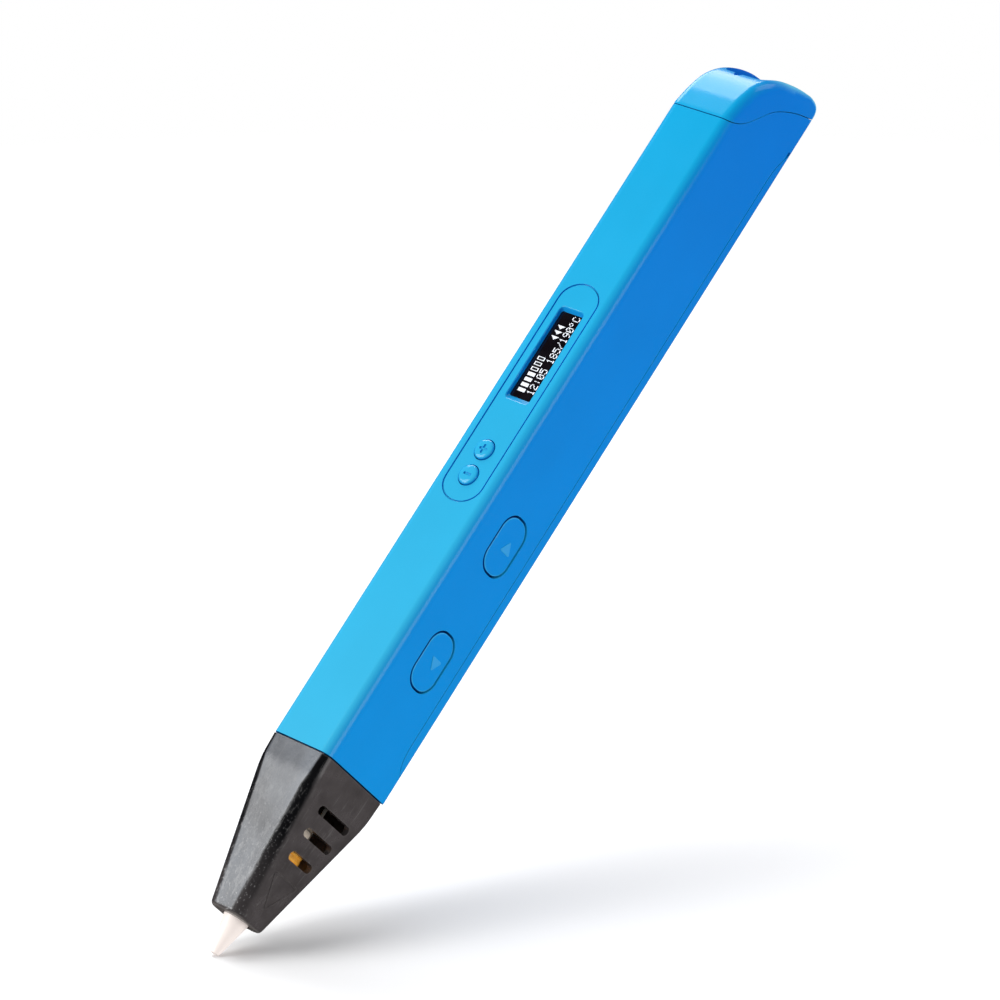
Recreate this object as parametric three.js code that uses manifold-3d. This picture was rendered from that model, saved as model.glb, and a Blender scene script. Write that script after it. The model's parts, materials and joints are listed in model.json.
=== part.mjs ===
// Slim 3D printing pen with its hot end, filament drive and electronics.
// Millimetres. +X runs from the nozzle to the end cap, +Z points out of the display face, and the
// feed and retract buttons are on the -Y side. The origin lies under the middle of the pen, on the
// flat rear cover it rests on. Stations (names ending in _S) are distances from the nozzle tip;
// "front" is the nozzle end and "rear", in mesh names for screws, is the cap end.
import * as THREE from 'three';
import { mergeVertices } from 'three/addons/utils/BufferGeometryUtils.js';
import Module from 'manifold-3d';

const wasm = await Module();
wasm.setup();

// ---- driving dimensions ------------------------------------------------------------------------
const LENGTH = 185;            // nozzle tip to the outermost point of the end cap
const BODY_W = 14.0;           // across the display face
const BODY_H = 19.6;           // display face to rear cover
const REAR_R = 1.2;            // corner radius beside the rear cover
const EDGE_R = 2.0;            // corner radius beside the display face
const WALL = 1.2;              // wall of the moulded housing
const GAP = 0.3;               // clearance between separate mouldings
const INNER_R = 1.0;           // corner radius of the cavity and the parts that enter it
const BEYOND_S = 190;          // past the cap, where cutting shapes end

const COVER_TIP_S = 6.85;      // nozzle cover
const COVER_SHOULDER_S = 32.7;
const COVER_END_S = 37.0;
const HOUSING_S = COVER_END_S + GAP;
const NOZZLE_Z = 9.0;          // height of the nozzle and melt tube axis

const SEAM_Z = 2.25;           // parting line of the rear cover
const REAR_COVER_S = [42.5, 174.8];

const PANEL_S = [86.8, 131.6]; // control panel inset
const PANEL_W = 8.5;
const PANEL_END = 3.6;         // length of its elliptical ends
const PANEL_TOP = 19.55;
const WINDOW_S = [107.4, 126.7];
const WINDOW_W = 5.5;
const WINDOW_R = 0.9;
const ROUND_BUTTON_S = [91.95, 97.2];
const ROUND_BUTTON_R = 1.925;
const ROUND_BUTTON_TOP = 20.15;

const SIDE_BUTTON_S = [61.5, 85.3];
const SIDE_BUTTON_Z = 9.45;
const SIDE_BUTTON_L = 11.0;
const SIDE_BUTTON_H = 7.0;
const SIDE_BUTTON_R = 3.1;
const SIDE_BUTTON_Y = -7.05;   // outer face

const BOARD_Z = [14.2, 15.0];
const BOARD_SCREW_S = [82, 160];
const BOARD_FIT = 0.05;        // space between the board and parts that sit on it
const BASE_Z = [2.0, 2.9];     // base plate of the feed chassis
const CHASSIS_SCREW_S = [90.5, 129.5];
const CHASSIS_SCREW_Y = 4.4;
const PILOT_R = 0.66;          // screw holes in the housing bosses

const DRIVE_S = 101;           // feed roller and idler station
const FILAMENT_Y = 2.9;
const FILAMENT_Z = NOZZLE_Z;
const INLET_Z = 11.3;          // filament height at the end cap
const JACK_Y = -1.3;
const JACK_Z = 6.3;

// ---- ranges and outlines -----------------------------------------------------------------------
const X = (station) => station - LENGTH / 2;
const xRange = (from, to) => [X(from), X(to)];
const around = (centre, size) => [centre - size / 2, centre + size / 2];
const middle = ([from, to]) => (from + to) / 2;
const span = ([from, to]) => to - from;

function polygon(points) {
  return new THREE.Shape(points.map(([x, y]) => new THREE.Vector2(x, y))).closePath();
}

function roundRect(cx, cy, width, height, radius) {
  const shape = new THREE.Shape();
  const dx = width / 2 - radius;
  const dy = height / 2 - radius;
  [[dx, dy], [-dx, dy], [-dx, -dy], [dx, -dy]].forEach(([x, y], quarter) => {
    shape.absarc(cx + x, cy + y, radius, quarter * Math.PI / 2, (quarter + 1) * Math.PI / 2);
  });
  shape.closePath();
  return shape;
}

// long shape centred on y = 0, with elliptical ends
function oval(cx, width, height, end) {
  const shape = new THREE.Shape();
  const dx = width / 2 - end;
  shape.absellipse(cx + dx, 0, end, height / 2, -Math.PI / 2, Math.PI / 2);
  shape.absellipse(cx - dx, 0, end, height / 2, Math.PI / 2, 1.5 * Math.PI);
  shape.closePath();
  return shape;
}

// draws a circle of two half turns round the origin into a shape or a hole path
function circle(path, radius) {
  path.absarc(0, 0, radius, 0, Math.PI);
  path.absarc(0, 0, radius, Math.PI, 2 * Math.PI);
  path.closePath();
  return path;
}

// ---- geometry builders; every range is [from, to] ------------------------------------------------
const AX = new THREE.Vector3(1, 0, 0);
const AY = new THREE.Vector3(0, 1, 0);
const AZ = new THREE.Vector3(0, 0, 1);

function extrude(shape, range, curveSegments) {
  const options = { depth: span(range), bevelEnabled: false, curveSegments };
  return new THREE.ExtrudeGeometry(shape, options);
}
// shape drawn in (y, z)
function sweepX(shape, range, segments = 3) {
  return extrude(shape, range, segments)
    .applyMatrix4(new THREE.Matrix4().makeBasis(AY, AZ, AX))
    .translate(range[0], 0, 0);
}
// shape drawn in (x, z)
function sweepY(shape, range, segments = 3) {
  return extrude(shape, range, segments)
    .applyMatrix4(new THREE.Matrix4().makeBasis(AX, AZ, AY.clone().negate()))
    .translate(0, range[1], 0);
}
// shape drawn in (x, y)
function sweepZ(shape, range, segments = 3) {
  return extrude(shape, range, segments).translate(0, 0, range[0]);
}
// side outline in (station, z)
function sweepSide(points, range) {
  return sweepY(polygon(points.map(([s, z]) => [X(s), z])), range);
}

function block(x, y, z) {
  return new THREE.BoxGeometry(span(x), span(y), span(z))
    .translate(middle(x), middle(y), middle(z));
}

// turns a Y-axis geometry onto another axis; a and b are its place on the two remaining axes
function alongAxis(geometry, axis, a, b) {
  if (axis === 'x') return geometry.rotateZ(-Math.PI / 2).translate(0, a, b);
  if (axis === 'y') return geometry.translate(a, 0, b);
  return geometry.rotateX(Math.PI / 2).translate(a, b, 0);
}
function rod(axis, radius, range, a, b, segments = 20) {
  const geometry = new THREE.CylinderGeometry(radius, radius, span(range), segments);
  return alongAxis(geometry.translate(0, middle(range), 0), axis, a, b);
}
// profile of [radius, place along the axis]
function lathe(profile, segments) {
  return new THREE.LatheGeometry(profile.map(([r, h]) => new THREE.Vector2(r, h)), segments);
}
function ring(axis, outer, inner, [from, to], a, b, segments = 24) {
  const profile = [[inner, from], [outer, from], [outer, to], [inner, to], [inner, from]];
  return alongAxis(lathe(profile, segments), axis, a, b);
}

// closed skin over rings of equally many [x, y, z] points, with flat ends
function skin(rings) {
  const count = rings[0].length;
  const indices = [];
  for (let i = 0; i + 1 < rings.length; i++) {
    for (let k = 0; k < count; k++) {
      const here = i * count + k;
      const next = i * count + (k + 1) % count;
      indices.push(here, next, next + count, here, next + count, here + count);
    }
  }
  const last = (rings.length - 1) * count;
  for (let k = 1; k + 1 < count; k++) {
    indices.push(0, k + 1, k, last, last + k, last + k + 1);
  }
  const geometry = new THREE.BufferGeometry();
  geometry.setAttribute('position', new THREE.Float32BufferAttribute(rings.flat(2), 3));
  geometry.setIndex(indices);
  return geometry;
}

// loft through rounded rectangles [station, centre z, width, height, corner radius]
function loft(sections) {
  const steps = 4;  // per corner
  return skin(sections.map(([s, centreZ, width, height, radius]) => {
    const points = [];
    for (let quarter = 0; quarter < 4; quarter++) {
      const sideY = quarter === 0 || quarter === 3 ? 1 : -1;
      const sideZ = quarter < 2 ? 1 : -1;
      for (let k = 0; k <= steps; k++) {
        const angle = (quarter + k / steps) * Math.PI / 2;
        const y = sideY * (width / 2 - radius) + radius * Math.cos(angle);
        const z = centreZ + sideZ * (height / 2 - radius) + radius * Math.sin(angle);
        points.push([X(s), y, z]);
      }
    }
    return points;
  }));
}

// round wire through [station, y, z] points; a bore makes it a tube
function wire(points, { radius, bore = 0, steps, sides = 2 }) {
  const path = new THREE.CatmullRomCurve3(
    points.map(([s, y, z]) => new THREE.Vector3(X(s), y, z)));
  const shape = circle(new THREE.Shape(), radius);
  if (bore) shape.holes.push(circle(new THREE.Path(), bore));
  const options = { steps, extrudePath: path, curveSegments: sides, bevelEnabled: false };
  return new THREE.ExtrudeGeometry(shape, options);
}

// ---- solids ------------------------------------------------------------------------------------
// closed indexed geometry with only positions, faces pointing out
function closed(geometry) {
  const bare = geometry.clone();
  bare.deleteAttribute('normal');
  bare.deleteAttribute('uv');
  const merged = mergeVertices(bare, 1e-4);
  const { position } = merged.attributes;
  const source = merged.index.array;
  const kept = [];
  let volume = 0;
  for (let i = 0; i < source.length; i += 3) {
    const [a, b, c] = source.slice(i, i + 3);
    if (a === b || b === c || a === c) continue;
    kept.push(a, b, c);
    const [pa, pb, pc] = [a, b, c].map((k) => new THREE.Vector3().fromBufferAttribute(position, k));
    volume += pa.dot(pb.cross(pc));
  }
  if (volume < 0) {
    for (let i = 0; i < kept.length; i += 3) [kept[i], kept[i + 1]] = [kept[i + 1], kept[i]];
  }
  merged.setIndex(kept);
  return merged;
}

// manifold of a geometry; a manifold passes through
function solid(shape) {
  if (!(shape instanceof THREE.BufferGeometry)) return shape;
  const geometry = closed(shape);
  return new wasm.Manifold(new wasm.Mesh({
    numProp: 3,
    vertProperties: new Float32Array(geometry.attributes.position.array),
    triVerts: new Uint32Array(geometry.index.array),
  }));
}
const join = (first, ...rest) => rest.reduce((body, part) => body.add(solid(part)), solid(first));
const cut = (first, ...rest) =>
  rest.reduce((body, part) => body.subtract(solid(part)), solid(first));
const overlap = (first, second) => solid(first).intersect(solid(second));

function geometryOf(manifold) {
  const { vertProperties, triVerts } = manifold.getMesh();
  const geometry = new THREE.BufferGeometry();
  geometry.setAttribute('position', new THREE.Float32BufferAttribute(vertProperties, 3));
  geometry.setIndex(Array.from(triVerts));
  return geometry;
}

// ---- materials ---------------------------------------------------------------------------------
const BLUE = 0x12a0e0;
const STEEL = 0xb9bdc2;
const FINISH = {
  housing: { color: BLUE, roughness: 0.42 },
  trim: { color: BLUE, roughness: 0.4 },
  button: { color: BLUE, roughness: 0.38 },
  nozzleCover: { color: 0x34302f, roughness: 0.5 },
  window: { color: 0x0c0a0e, roughness: 0.12 },
  ceramic: { color: 0xf3e7dd, roughness: 0.55 },
  brass: { color: 0xc9a24a, roughness: 0.35, metalness: 1 },
  steel: { color: STEEL, roughness: 0.3, metalness: 1 },
  polishedSteel: { color: STEEL, roughness: 0.25, metalness: 1 },
  dullSteel: { color: STEEL, roughness: 0.35, metalness: 1 },
  sleeve: { color: 0xd98a2b, roughness: 0.3 },
  insulator: { color: 0xd9cdb8, roughness: 0.8 },
  bulkhead: { color: 0x2b2b2d, roughness: 0.6 },
  thermistor: { color: 0x5a2f1e, roughness: 0.2 },
  paleWire: { color: 0xd8d4c8, roughness: 0.5 },
  redWire: { color: 0xb5231c, roughness: 0.5 },
  blackWire: { color: 0x1d1d1f, roughness: 0.5 },
  ptfe: { color: 0xeef0ee, roughness: 0.35 },
  inletTube: { color: 0xe9ecec, roughness: 0.35 },
  chassis: { color: 0xe6e4dc, roughness: 0.6 },
  arm: { color: 0xd8d5cb, roughness: 0.55 },
  display: { color: 0x1b2a22, roughness: 0.5 },
  board: { color: 0x1f6b3a, roughness: 0.45 },
  chip: { color: 0x18181a, roughness: 0.4 },
  capacitor: { color: 0x23262e, roughness: 0.3 },
  switchBody: { color: 0x2a2a2c, roughness: 0.5 },
  plunger: { color: 0x8f9296, roughness: 0.4 },
  jack: { color: 0x1c1c1e, roughness: 0.45 },
  ribbon: { color: 0xc98a3a, roughness: 0.35 },
};

// ---- scene -------------------------------------------------------------------------------------
const group = new THREE.Group();
group.name = 'printing_pen';
const [shells, controls, hotEnd, drive, electronics, fasteners] =
  ['shells', 'controls', 'hot_end', 'drive', 'electronics', 'fasteners'].map((name) => {
    const part = new THREE.Group();
    part.name = name;
    group.add(part);
    return part;
  });

function add(parent, name, shape, finish, position = [0, 0, 0]) {
  const geometry = shape instanceof THREE.BufferGeometry ? closed(shape) : geometryOf(shape);
  geometry.computeVertexNormals();
  const material = new THREE.MeshStandardMaterial({ metalness: 0, ...finish, flatShading: true });
  const mesh = new THREE.Mesh(geometry, material);
  mesh.name = name;
  mesh.position.set(...position);
  parent.add(mesh);
  return mesh;
}

// ---- outer form of the pen ---------------------------------------------------------------------
// end profile, [station, z], from the display face round the end to the rear cover
const END_PROFILE = [
  [170, 19.6], [173.94, 18.65], [177.45, 17.24], [180.35, 14.83], [182.55, 11.5],
  [184.1, 7.75], [184.9, 4.4], [184.85, 1.9], [183.6, 0.35], [181.4, 0],
];
// seam between housing and end cap, [station, z]
const CAP_SEAM = [
  [169.25, 20.4], [169.5, 18.6], [170.1, 17.3], [170.9, 16.0], [172.2, 14.6], [174.6, 12.6],
  [176.8, 10.8], [178.6, 8.4], [180.2, 5.5], [181.4, 2.6], [182.5, -0.6],
];

function smooth(points, divisions) {
  const curve = new THREE.SplineCurve(points.map(([s, z]) => new THREE.Vector2(s, z)));
  return curve.getPoints(divisions).map(({ x, y }) => [x, y]);
}

// body section in (y, z)
function bodySection() {
  const half = BODY_W / 2;
  const shape = new THREE.Shape();
  shape.moveTo(-half + REAR_R, 0);
  shape.lineTo(half - REAR_R, 0);
  shape.absarc(half - REAR_R, REAR_R, REAR_R, -Math.PI / 2, 0);
  shape.absarc(half - EDGE_R, BODY_H - EDGE_R, EDGE_R, 0, Math.PI / 2);
  shape.absarc(-half + EDGE_R, BODY_H - EDGE_R, EDGE_R, Math.PI / 2, Math.PI);
  shape.absarc(-half + REAR_R, REAR_R, REAR_R, Math.PI, 1.5 * Math.PI);
  return shape;
}

// section that fits inside the walls with a clearance
function innerSection(clearance) {
  const inset = 2 * (WALL + clearance);
  return roundRect(0, BODY_H / 2, BODY_W - inset, BODY_H - inset, INNER_R);
}

function makeOuterForm() {
  const end = smooth(END_PROFILE, 26)
    .map(([s, z]) => [Math.min(s, LENGTH), Math.max(0, Math.min(z, BODY_H))]);
  const side = [[30, -2], [30, 24], [168, 24], [168, BODY_H], ...end, [168, 0], [168, -2]];
  return overlap(
    sweepX(bodySection(), xRange(HOUSING_S, LENGTH + 2)),
    sweepSide(side, [-8, 8]));
}

// everything beyond the cap seam, with the seam moved along X
function capRegion(shift) {
  const seam = smooth(CAP_SEAM, 18).map(([s, z]) => [s + shift, z]);
  return sweepSide([...seam, [BEYOND_S, -0.6], [BEYOND_S, 20.4]], [-9, 9]);
}

// everything below the rear cover's parting line, whose ends curve down to the rest face
function coverRegion(grow) {
  const [start, end] = REAR_COVER_S;
  const spread = grow * 0.7;  // growth along X where the line is steep
  return sweepSide([
    [start - grow, -1], [start - spread, 0.2], [start + 0.8 - spread, 1.0],
    [start + 2.4, 1.75 + grow], [start + 4.8, SEAM_Z + grow], [end - 6, SEAM_Z + grow],
    [end - 3.2, 1.7 + grow], [end - 1.3 + spread, 0.9], [end + spread, 0.2], [end + grow, -1],
  ], [-9, 9]);
}

const outerForm = makeOuterForm();
const cavity = solid(sweepX(innerSection(0), xRange(HOUSING_S - 5, BEYOND_S), 1));

// ---- shells ------------------------------------------------------------------------------------
const panelMid = middle(PANEL_S);
const panelLength = span(PANEL_S);

function mainHousing() {
  const panelHole = oval(X(panelMid), panelLength + 2 * GAP, PANEL_W + 2 * GAP, PANEL_END + GAP);
  let housing = cut(outerForm, cavity, capRegion(-GAP), coverRegion(GAP),
    sweepZ(panelHole, [17.9, 21], 5));
  for (const s of SIDE_BUTTON_S) {
    const hole = roundRect(X(s), SIDE_BUTTON_Z,
      SIDE_BUTTON_L + 2 * GAP, SIDE_BUTTON_H + 2 * GAP, SIDE_BUTTON_R + GAP);
    housing = cut(housing, sweepY(hole, [-9, -5]));
  }
  // round bosses under the display wall for the main board
  const ceiling = BODY_H - WALL;
  for (const s of BOARD_SCREW_S) {
    housing = cut(
      join(housing, rod('z', 1.7, [BOARD_Z[1] + BOARD_FIT, ceiling + 0.4], X(s), 0, 16)),
      rod('z', PILOT_R, [BOARD_Z[1] - 1, ceiling + 0.1], X(s), 0, 12));
  }
  // square bosses on the +Y wall for the feed chassis
  const bossTops = [7.0, 8.0];
  CHASSIS_SCREW_S.forEach((s, i) => {
    housing = cut(
      join(housing, block(around(X(s), 3), [3.1, BODY_W / 2 - 0.5], [3.35, bossTops[i]])),
      rod('z', PILOT_R, [2, bossTops[i] - 0.6], X(s), CHASSIS_SCREW_Y, 12));
  });
  return housing;
}

const rearCover = () => cut(overlap(outerForm, coverRegion(0)), cavity);

// side outline of the cap tongue, [station, z]
const TONGUE_SIDE = [
  [171, 0], [171, 17.9], [176.2, 17.4], [179.0, 15.6], [181.2, 12.0], [182.4, 6], [182.2, 0],
];
// +Y half of the recess in the cap end, [y, z]
const CAP_RECESS = [
  [3.4, 2.9], [4.5, 3.4], [4.7, 4.4], [4.7, 9.4], [5.4, 10.6],
  [5.4, 12.4], [5.15, 13.6], [4.4, 14.5], [3.2, 15.0], [1.5, 15.1],
];

// outer lip, a tongue inside the housing, and a recessed end wall with two round openings
function endCap() {
  const tongue = overlap(
    sweepX(innerSection(GAP), xRange(172, 181), 1),
    sweepSide(TONGUE_SIDE, [-7, 7]));
  const mirrored = CAP_RECESS.map(([y, z]) => [-y, z]).reverse();
  const openings = xRange(175, 179);
  return cut(
    join(overlap(outerForm, capRegion(0)), tongue),
    block(xRange(160, 176.2), [-4.6, 4.6], [2.6, 16.6]),
    sweepX(polygon([...CAP_RECESS, ...mirrored]), xRange(177.6, BEYOND_S), 2),
    rod('x', 1.3, openings, FILAMENT_Y, INLET_Z, 20),
    rod('x', 2.6, openings, JACK_Y, JACK_Z, 24));
}

// nozzle cover sections, [station, centre z, width, height, corner radius]
const COVER_OUTSIDE = [
  [COVER_TIP_S, 9.3, 7.1, 7.6, 2.2],
  [COVER_TIP_S + 0.8, 9.35, 8.5, 9.0, 2.6],
  [COVER_SHOULDER_S, BODY_H / 2, 13.8, 19.3, 2.3],
  [COVER_END_S, BODY_H / 2, 13.9, 19.5, 2.0],
];
const COVER_INSIDE = [
  [8.2, 9.3, 6.6, 7.1, 2.0],
  [COVER_SHOULDER_S, BODY_H / 2, 11.6, 17.1, 1.6],
  [35.6, BODY_H / 2, 11.7, 17.2, 1.6],
];
const VENT_SLOTS = [[20.4, 5.85, 12.75], [25.0, 4.7, 13.3], [29.4, 4.05, 13.8]]; // [station, z, z]
const SLOT_W = 1.7;

// tapered shell with vent slots on the -Y side and a spigot that enters the housing
function nozzleCover() {
  const slots = VENT_SLOTS.map(([s, low, high]) => sweepY(
    roundRect(X(s), (low + high) / 2, SLOT_W, high - low, SLOT_W / 2 - 0.01), [-9, -2.5], 2));
  return cut(
    join(loft(COVER_OUTSIDE), sweepX(innerSection(GAP), xRange(36.5, 41.5), 1)),
    loft(COVER_INSIDE),
    sweepX(roundRect(0, BODY_H / 2, 9.0, 14.6, 1.0), xRange(35, 43), 1),
    rod('x', 2.75, xRange(6, 10), 0, NOZZLE_Z, 24),
    ...slots);
}

add(shells, 'main_housing', mainHousing(), FINISH.housing);
add(shells, 'rear_cover', rearCover(), FINISH.housing);
add(shells, 'end_cap', endCap(), FINISH.trim);
add(shells, 'nozzle_cover', nozzleCover(), FINISH.nozzleCover);

// ---- controls ----------------------------------------------------------------------------------
const windowX = X(middle(WINDOW_S));

// inset with a wider flange below, the window opening and two button holes
function controlPanel() {
  const bottom = 17.5;
  const flange = oval(X(panelMid), panelLength + 2.4, 10.6, 4.2);
  return cut(
    join(
      sweepZ(oval(X(panelMid), panelLength, PANEL_W, PANEL_END), [bottom, PANEL_TOP], 5),
      sweepZ(flange, [bottom, 18.1], 5)),
    sweepZ(roundRect(windowX, 0, span(WINDOW_S), WINDOW_W, WINDOW_R), [17, 20], 1),
    ...ROUND_BUTTON_S.map((s) => rod('z', ROUND_BUTTON_R + GAP, [17, 20], X(s), 0, 28)));
}

function screenWindow() {
  const outline = roundRect(0, 0,
    span(WINDOW_S) - 2 * GAP, WINDOW_W - 2 * GAP, WINDOW_R - GAP);
  return sweepZ(outline, [17.1, 18.7], 2);
}

// flange, straight skirt and crowned head, [radius, z]
const ROUND_BUTTON_PROFILE = [
  [0, 16.75], [2.45, 16.75], [2.45, 17.2], [ROUND_BUTTON_R, 17.2],
  [ROUND_BUTTON_R, 19.75], [1.7, 20.02], [1.1, 20.12], [0, ROUND_BUTTON_TOP],
];
const roundButton = () => alongAxis(lathe(ROUND_BUTTON_PROFILE, 24), 'z', 0, 0);

// long push button with a flange and a raised triangle that points along X in the direction given
function sideButton(direction) {
  const tip = direction * 1.1;
  const back = -direction * 0.9;
  const flange = roundRect(0, 0, SIDE_BUTTON_L + 1.6, SIDE_BUTTON_H + 1.3, SIDE_BUTTON_R + 0.6);
  const triangle = polygon([[tip, -0.6], [back, 0.75], [back, -1.95]]);
  return join(
    sweepY(roundRect(0, 0, SIDE_BUTTON_L, SIDE_BUTTON_H, SIDE_BUTTON_R), [SIDE_BUTTON_Y, -5.2]),
    sweepY(flange, [-5.5, -5.15]),
    sweepY(triangle, [SIDE_BUTTON_Y - 0.12, SIDE_BUTTON_Y + 0.3]));
}

add(controls, 'control_panel', controlPanel(), FINISH.trim);
add(controls, 'screen_window', screenWindow(), FINISH.window, [windowX, 0, 0]);
['button_minus', 'button_plus'].forEach((name, i) => {
  add(controls, name, roundButton(), FINISH.button, [X(ROUND_BUTTON_S[i]), 0, 0]);
});
[['feed_button', -1], ['retract_button', 1]].forEach(([name, direction], i) => {
  const position = [X(SIDE_BUTTON_S[i]), 0, SIDE_BUTTON_Z];
  add(controls, name, sideButton(direction), FINISH.button, position);
});

// ---- hot end -----------------------------------------------------------------------------------
const TUBE_R = 1.4;            // melt tube
const TUBE_BORE = 1.0;
const SEAT_R = 1.45;           // bore of the parts threaded on the melt tube

// turned profiles round the nozzle axis, [station, radius]
const NOZZLE = [
  [0, 0.3], [0, 0.5], [0.15, 0.62], [7.0, 2.38], [9.8, 2.45],
  [9.8, TUBE_BORE], [2.6, TUBE_BORE], [1.4, 0.3], [0, 0.3],
];
const HOLDER = [
  [10.0, SEAT_R], [10.0, 2.6], [12.0, 2.6], [12.0, 2.9], [16.8, 2.9],
  [16.8, SEAT_R], [10.0, SEAT_R],
];
const SLEEVE = [
  [17.3, SEAT_R], [17.3, 3.2], [17.6, 3.6], [18.4, 3.75], [22.9, 3.75], [23.5, 3.55],
  [23.7, 3.2], [23.7, SEAT_R], [17.3, SEAT_R],
];
const COLLAR = [
  [24.1, SEAT_R], [24.1, 2.9], [24.3, 3.1], [25.8, 3.1], [26.0, 2.9],
  [26.0, SEAT_R], [24.1, SEAT_R],
];
const HEAT_BREAK = [
  [27.2, SEAT_R], [27.2, 2.6], [28.2, 2.6], [28.2, 2.0], [41.4, 2.0], [41.4, 1.55],
  [35.3, 1.55], [35.3, SEAT_R], [27.2, SEAT_R],
];
// centre lines, [station, y, z]
const THERMISTOR_LEAD = [
  [21.7, 0, 4.45], [30, 0, 4.5], [40, 0, 4.6], [50, 2.6, 5.4],
  [66, 4.9, 8.2], [76, 4.9, 11.6], [79.4, 4.2, 13.6],
];
const HEATER_WIRE = [
  [24.4, 1.9, 12.9], [30, 1.9, 13.7], [40, 1.7, 14.5], [60, 1.7, 14.0], [79.2, 1.7, 13.6],
];

function turned(profile, segments) {
  return alongAxis(lathe(profile.map(([s, r]) => [r, X(s)]), segments), 'x', 0, NOZZLE_Z);
}

// plate with a hole for the heat break and a smaller one for the thermistor lead
function bulkhead() {
  const holes = xRange(37, 42);
  return cut(
    sweepX(roundRect(0, 8.1, 8.4, 10.4, 1.0), xRange(38, 40.6), 1),
    rod('x', 2.06, holes, 0, NOZZLE_Z, 20),
    rod('x', 0.8, holes, 0, 4.6, 12));
}

const thermistor = () => new THREE.SphereGeometry(0.6, 12, 8)
  .scale(1.5, 1, 1)
  .translate(X(20.6), 0, 4.45);
const meltTube = () => ring('x', TUBE_R, TUBE_BORE, xRange(10.1, 35), 0, NOZZLE_Z, 20);
const clampWasher = () => ring('x', 3.3, SEAT_R, xRange(26.3, 26.9), 0, NOZZLE_Z);

add(hotEnd, 'ceramic_nozzle', turned(NOZZLE, 28), FINISH.ceramic);
add(hotEnd, 'nozzle_holder', turned(HOLDER, 24), FINISH.brass);
add(hotEnd, 'melt_tube', meltTube(), FINISH.steel);
add(hotEnd, 'heater_sleeve', turned(SLEEVE, 28), FINISH.sleeve);
add(hotEnd, 'insulator_collar', turned(COLLAR, 24), FINISH.insulator);
add(hotEnd, 'clamp_washer', clampWasher(), FINISH.steel);
add(hotEnd, 'heat_break', turned(HEAT_BREAK, 20), FINISH.dullSteel);
add(hotEnd, 'hot_end_bulkhead', bulkhead(), FINISH.bulkhead);
add(hotEnd, 'thermistor', thermistor(), FINISH.thermistor);
add(hotEnd, 'thermistor_lead', wire(THERMISTOR_LEAD, { radius: 0.35, steps: 16 }),
  FINISH.paleWire);
for (const [suffix, side, finish] of [['a', 1, FINISH.redWire], ['b', -1, FINISH.blackWire]]) {
  const points = HEATER_WIRE.map(([s, y, z]) => [s, side * y, z]);
  add(hotEnd, 'heater_wire_' + suffix, wire(points, { radius: 0.45, steps: 10 }), finish);
}

// ---- filament drive ----------------------------------------------------------------------------
const WHEEL_TEETH = 16;
const WHEEL_R = 2.5;           // pitch radius of the worm wheel
const ROLLER_R = 2.5;
const AXLE_R = 0.8;
const AXLE_BORE = 0.83;        // bore of the wheel and the roller
const AXLE_Z = 5.7;
const WORM_Y = -2.4;
const WORM_Z = AXLE_Z + WHEEL_R + 1.25;
const WORM_LEAD = 2 * Math.PI * WHEEL_R / WHEEL_TEETH;  // single start
const MOTOR_R = 3.0;
const IDLER_R = 1.8;
const IDLER_Z = 11.6;
const PIVOT_S = 109.5;
const PIVOT_Z = 11.9;
const ARM_Y = [1.55, 4.3];
const ARM_Z = [11.2, 12.6];
const ARM_LUG_S = [92.8, 95.2];  // free end of the idler arm, over the spring

// tube centre lines, [station, y, z]
const PTFE_TUBE = [
  [35.8, 0, NOZZLE_Z], [46, 0, NOZZLE_Z], [60, 0.5, NOZZLE_Z],
  [80, 2.2, NOZZLE_Z], [90, 2.85, NOZZLE_Z], [97.2, FILAMENT_Y, FILAMENT_Z],
];
const INLET_TUBE = [
  [104.6, FILAMENT_Y, FILAMENT_Z], [125, FILAMENT_Y, 9.7],
  [155, FILAMENT_Y, 11.0], [176.0, FILAMENT_Y, INLET_Z],
];
// chassis walls, [station range, y range, z range]
const CHASSIS_WALLS = [
  [[98, 104], [-5.4, -4.4], [2.5, 8.2]],      // -Y ear for the feed axle
  [[98, 112], [4.6, 5.4], [2.5, 8.2]],        // +Y ear for the feed axle
  [[106.5, 112], [4.6, 5.4], [8, 13.2]],      // +Y post for the idler pivot
  [[107.5, 111.5], [0.78, 1.32], [2.5, 13.2]], // inner post for the idler pivot
  [[107, 110], [-5.4, 1.0], [2.5, 8.6]],      // cradle under the gearbox
  [[118, 122], [-5.4, 0.6], [2.5, 8.6]],      // cradle under the motor
];

function feedChassis() {
  return cut(
    join(
      block(xRange(89, 131), [-5.4, 5.4], BASE_Z),
      ...CHASSIS_WALLS.map(([s, y, z]) => block(xRange(...s), y, z))),
    rod('x', MOTOR_R + 0.12, xRange(104, 128), WORM_Y, WORM_Z, 32),
    block(xRange(97.4, 104.6), [-3.8, 4.4], [1, 4]),  // opening under the wheel and roller
    rod('y', AXLE_R + 0.06, [-7, 7], X(DRIVE_S), AXLE_Z, 20),
    rod('y', 0.64, [0, 7], X(PIVOT_S), PIVOT_Z, 16),
    ...CHASSIS_SCREW_S.map((s) => rod('z', 0.7, [1, 4], X(s), CHASSIS_SCREW_Y, 14)));
}

const motorCan = () => join(
  rod('x', MOTOR_R, xRange(112.1, 125.6), WORM_Y, WORM_Z, 32),
  rod('x', 1.0, xRange(125.4, 126.6), WORM_Y, WORM_Z, 16));
const gearbox = () => cut(
  rod('x', MOTOR_R, xRange(105.7, 112.0), WORM_Y, WORM_Z, 32),
  rod('x', 0.62, xRange(105, 109), WORM_Y, WORM_Z, 14));

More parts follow.
